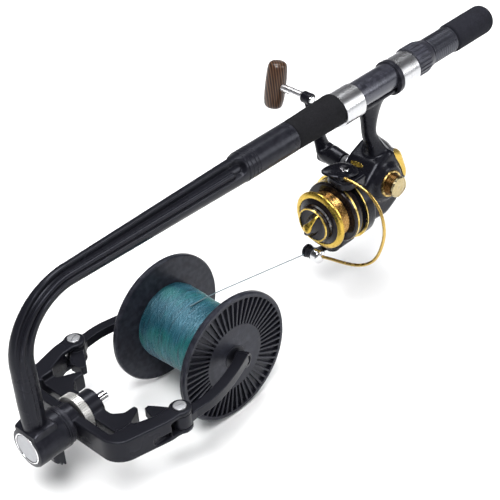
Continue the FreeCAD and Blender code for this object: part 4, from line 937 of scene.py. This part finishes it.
def make_roller_end():
    """The lever with its dark cap and bright barrel, and the grooved roller between them."""
    centre = at_reel(-60.9, 0, -31.8)
    casting = cast("bail_lever_casting", "bail_lever", voxel=0.28, rounds=5)
    near, far, reach = -3.0, 6.1, 6.6
    second_look(casting, own_finish["bright_guide"], lambda at: (
        near < at.y < far and math.hypot(at.x - centre.x, at.z - centre.z) < reach))
    y, bore, rim = 8.7, 1.66, 4.7
    side = [(2.5, bore), (2.5, rim - 0.3), (2.2, rim), (1.5, rim), (0.9, rim - 0.7), (0.4, rim - 1.05)]
    profile = [(y - at, r) for at, r in side] + [(y + at, r) for at, r in reversed(side)] + [(y - 2.5, bore)]
    turned("line_roller_turned", profile, centre, (0, 1, 0),
           "line_roller", slot_of["line_roller"], "line_roller")


# ---------- crank
def make_crank():
    """One broad limb, from its sleeve on the gear's shaft to the knob's joint, and the collar."""
    crank_height = 8.0
    lean = math.radians(10.6)
    up = Vector((-math.sin(lean), 0, math.cos(lean)))
    side = Vector((math.cos(lean), 0, math.sin(lean)))
    out = Vector((0, 1, 0))
    root = at_reel(0, 0, crank_height)

    def station(y, rise, turn, a, b):
        return (root + out * y + up * rise, side, up * math.cos(turn) - out * math.sin(turn), a, b)

    quarter = math.pi / 2
    limb = loft("limb", between([
        station(28.0, 0.6, 0.0, 6.9, 7.2), station(33.0, 1.3, 0.0, 7.2, 7.8),
        station(39.0, 2.2, 0.05, 7.6, 8.2), station(44.0, 3.2, quarter * 0.35, 7.8, 7.6),
        station(47.2, 6.2, quarter * 0.72, 7.3, 5.8), station(48.9, 9.5, quarter * 0.95, 6.3, 3.7),
        station(50.4, 22.0, quarter, 5.4, 2.9), station(52.0, 38.0, quarter, 4.7, 2.6),
        station(53.0, 52.6, quarter, 4.3, 2.5)], steps=6), around=56)
    cast("crank_casting", "crank_arm", voxel=0.32, rounds=8, parts=[limb])
    turned("crank_collar_turned", [
        (18.9, 0), (18.9, 6.6), (19.4, 7.4), (20.2, 7.7), (21.4, 7.7), (21.8, 7.2), (22.6, 7.0), (23.4, 7.2),
        (24.0, 6.9), (27.9, 6.35), (27.9, 0)], root, out,
        "crank", "polished_steel", "crank_hub", look=finish["grey_metal"])


def make_knob():
    """A turned barrel of laminated wood, with the hole for its shaft."""
    centre = Vector((-120.53, 86.1, -23.70))
    lean = math.radians(14.0)
    axis = Vector((math.sin(lean), 0, math.cos(lean)))
    half, radius, bore = 18.1, 8.1, 3.06
    profile = [(-half, 0), (-half, 4.4), (-half + 0.4, 5.4), (-half + 1.4, 6.5), (-half + 3.2, 7.2),
               (-half + 7.0, 7.75), (-half + 12.0, 8.02), (0, radius)]
    profile += [(-along, r) for along, r in reversed(profile[:-1])]
    knob = link("knob_turned", lathe(profile, centre, axis, name="knob_turned"))
    hole = lathe([(-12.0, 0), (-12.0, bore), (5.0, bore), (5.0, 0)], centre, (0, 1, 0), count=48)
    join_solids(knob, [hole], "DIFFERENCE")
    smooth(knob.data, 45.0)
    dress(knob, "knob", "wood", "wooden_knob")


# ---------- side cap, trims and small bright parts
def make_side_cap():
    """A dark grooved cylinder with a polished face of five low facets."""
    centre, y = at_reel(0, 0, 8.0), -17.0
    wall = [(y, 0), (y, 8.2)]
    for ring in range(5):
        start, r = y - 0.7 - ring * 1.15, 8.2 - ring * 0.08
        wall += [(start, r), (start - 0.25, r - 0.35), (start - 0.6, r - 0.35), (start - 0.85, r)]
    wall += [(y - 6.9, 7.8), (y - 7.0, 7.6), (y - 7.0, 0)]
    turned("side_cap_wall", wall, centre, (0, 1, 0), "winder", "bronze_metal",
           look=own_finish["cap_wall"], count=120)

    def facets(along, angle):
        if along > y - 7.6:
            return 0.0
        return -0.5 * abs(math.sin(angle * 2.5)) ** 1.5

    turned("side_cap_face", [
        (y - 7.0, 0), (y - 7.0, 8.0), (y - 7.25, 8.15), (y - 8.2, 8.1), (y - 8.55, 7.8), (y - 8.7, 7.4),
        (y - 8.3, 7.0), (y - 8.3, 6.5), (y - 8.85, 5.4), (y - 9.0, 2.9), (y - 8.7, 2.2), (y - 8.7, 0)],
        centre, (0, 1, 0), "winder", "gold_metal", "side_cap",
        look=own_finish["pale_gold"], count=120, sharp=28.0, change=facets)


def make_pins():
    """The fingers' pins, with slotted heads."""
    pin_x, pin_y, head_z, slot_depth = -361.75, 52.5, -98.1, 0.55
    up = Vector((0, 0, 1))
    pins = None
    for side, turn in ((1, 0.4), (-1, -0.5)):
        top = Vector((pin_x, side * pin_y, head_z))
        pin = lathe([(-19.0, 0), (-19.0, 2.5), (-1.6, 2.5), (-1.6, 4.5), (-0.35, 4.5), (-0.05, 4.2),
                     (0.0, 3.6), (0.0, 0)], top, up, 72, "pivot_pins_turned")
        if pins is None:
            pins = link("pivot_pins_turned", pin)
        else:
            join_solids(pins, [pin])
        along = Vector((math.cos(turn), math.sin(turn), 0))
        bar = bar_along(top - up * slot_depth, up, along, length=6.4, width=1.0, height=1.2)
        join_solids(pins, [bar], "DIFFERENCE")
    smooth(pins.data, 32.0)
    dress(pins, "bracket", "grey_metal", "pivot_pins")


def make_hub_disc():
    """The hub's grey disc with a dark gap and a bright ring pressed round it."""
    front, ring_start = hub_back - 0.4, 10.32
    disc = turned("hub_disc", [
        (front + 2.4, 0), (front + 2.4, 11.3), (front + 0.25, 11.3), (front, 11.05), (front, 10.55),
        (front + 0.25, 10.35), (front + 0.9, 10.3), (front + 0.9, 9.9), (front + 0.45, 9.85),
        (front + 0.28, 9.6), (front + 0.25, 0)], (0, 0, stud_z), (1, 0, 0),
        "winder", "grey_metal", "hub_end_cap", count=120)
    second_look(disc, finish["polished_steel"], lambda at: math.hypot(at.y, at.z - stud_z) > ring_start)


def laid_on_case(name, spot, rows, columns, slot, *replaced):
    """A thin sheet laid on the reel's casting.

    spot gives each ray's start, its direction and the step to where the next ray is tried after a miss.
    """
    lift, thickness = 0.12, 0.55
    case = bpy.data.objects["reel_casting"]
    points, faces = [], []
    for i in range(rows):
        for j in range(columns):
            start, towards, step = spot(i / (rows - 1), j / (columns - 1))
            found = False
            while not found:
                found, place, normal, _ = case.ray_cast(start * MM, towards)
                start = start + step
            points.append(place / MM + normal * lift)
    for i in range(rows - 1):
        for j in range(columns - 1):
            k = i * columns + j
            faces.append((k, k + 1, k + columns + 1, k + columns))
    sheet = link(name, mesh_from(name, points, faces))
    thick = sheet.modifiers.new("thick", "SOLIDIFY")
    thick.thickness, thick.offset = thickness * MM, 0.0
    smooth(baked(sheet), 50.0)
    dress(sheet, "winder", slot, *replaced)


def make_case_trims():
    """The gold band round the case's rear edge, the flash on its front slope and the stem's bright line."""
    outside, away, still = 45, 12, Vector((0, 0, 0))

    def rear(along, share):
        angle = math.radians(70.0 - 92.0 * along)
        fuller = math.sin(math.pi * min(max(along, 0.004), 0.996)) ** 0.4
        tilt = math.radians(26.0 + (13.0 - 26.0 * share) * fuller)
        fan = Vector((math.cos(angle) * math.cos(tilt), -math.sin(tilt), math.sin(angle) * math.cos(tilt)))
        return at_reel(3.0, -2.0, 9.0) + fan * outside, -fan, still

    laid_on_case("rear_band", rear, 30, 19, "gold_metal", "rear_trim")

    def flash(along, share):
        down = Vector((0.65, 0, -0.76))
        wide = 3.6 * math.sin(math.pi * (0.06 + 0.88 * along)) ** 0.6
        start = at_reel(-12.0, 10.5 - 11.5 * along, 22.2) + Vector((0.76, 0, 0.65)) * ((share - 0.5) * wide)
        return start - down * away, down, Vector((0, -0.1, 0))

    laid_on_case("front_flash", flash, 22, 8, "gold_metal")

    def stripe(along, share):
        towards = Vector((-0.41, 0.77, -0.48)).normalized()
        start = at_reel(1.0, -5.5, 44.5).lerp(at_reel(10.2, -11.2, 28.5), along)
        wide = 0.5 + 1.1 * along
        start += Vector((0.72, 0.62, 0.36)).normalized() * ((share - 0.5) * wide)
        return start - towards * away, towards, Vector((-0.1, 0, 0))

    laid_on_case("stem_stripe", stripe, 26, 4, "grey_metal")


make_reel_spool()
make_drag_knob()
make_bail()
make_roller_end()
make_crank()
make_knob()
make_side_cap()
make_pins()
make_hub_disc()
make_case_trims()


# ---------- studio
def make_floor():
    """A plain pale sheet just under the part's lowest point."""
    half, gap = 6.0, 0.6 * MM
    z = cad_box[0].z - gap
    data = bpy.data.meshes.new("floor")
    data.from_pydata([(-half, -half, z), (half, -half, z), (half, half, z), (-half, half, z)], [],
                     [(0, 1, 2, 3)])
    s = Shade("floor_paper", (0.86, 0.86, 0.86), 0.75, specular=0.2)
    s.mottle(300.0, 0.3, 0.7, 0.3, (0.84, 0.845, 0.85))
    data.materials.append(s.material)
    link("floor", data)


def make_light(name, place, size, power):
    """A white rectangle of light, turned to the part's middle."""
    middle = Vector((-0.22, 0.0, -0.06))
    data = bpy.data.lights.new(name, "AREA")
    data.shape, data.size, data.size_y = "RECTANGLE", size[0], size[1]
    data.energy = power
    light = link(name, data)
    light.location = place
    light.rotation_mode = "QUATERNION"
    light.rotation_quaternion = (middle - Vector(place)).to_track_quat("-Z", "Y")


def make_sky():
    """A dim studio overhead that grows pale towards the horizon."""
    world = bpy.data.worlds.new("studio")
    world.use_nodes = True
    tree = world.node_tree
    background = tree.nodes["Background"]
    place = tree.nodes.new("ShaderNodeTexCoord").outputs["Generated"]
    split = tree.nodes.new("ShaderNodeSeparateXYZ")
    tree.links.new(place, split.inputs["Vector"])
    ramp = tree.nodes.new("ShaderNodeValToRGB")
    tree.links.new(split.outputs["Z"], ramp.inputs["Fac"])
    horizon, overhead = ramp.color_ramp.elements
    horizon.position, horizon.color = 0.0, (0.46, 0.46, 0.48, 1)
    overhead.position, overhead.color = 0.45, (0.055, 0.055, 0.062, 1)
    tree.links.new(ramp.outputs["Color"], background.inputs["Color"])
    background.inputs["Strength"].default_value = 1.0
    bpy.context.scene.world = world


make_floor()
make_sky()
make_light("key", (-0.9, -0.5, 1.5), (0.8, 0.8), 42.0)
make_light("overhead", (0.1, 0.5, 1.6), (1.3, 0.6), 34.0)
make_light("side", (0.7, -1.3, 0.7), (0.4, 0.9), 12.0)
bpy.context.scene.view_settings.view_transform = "Standard"

bpy.context.view_layer.update()
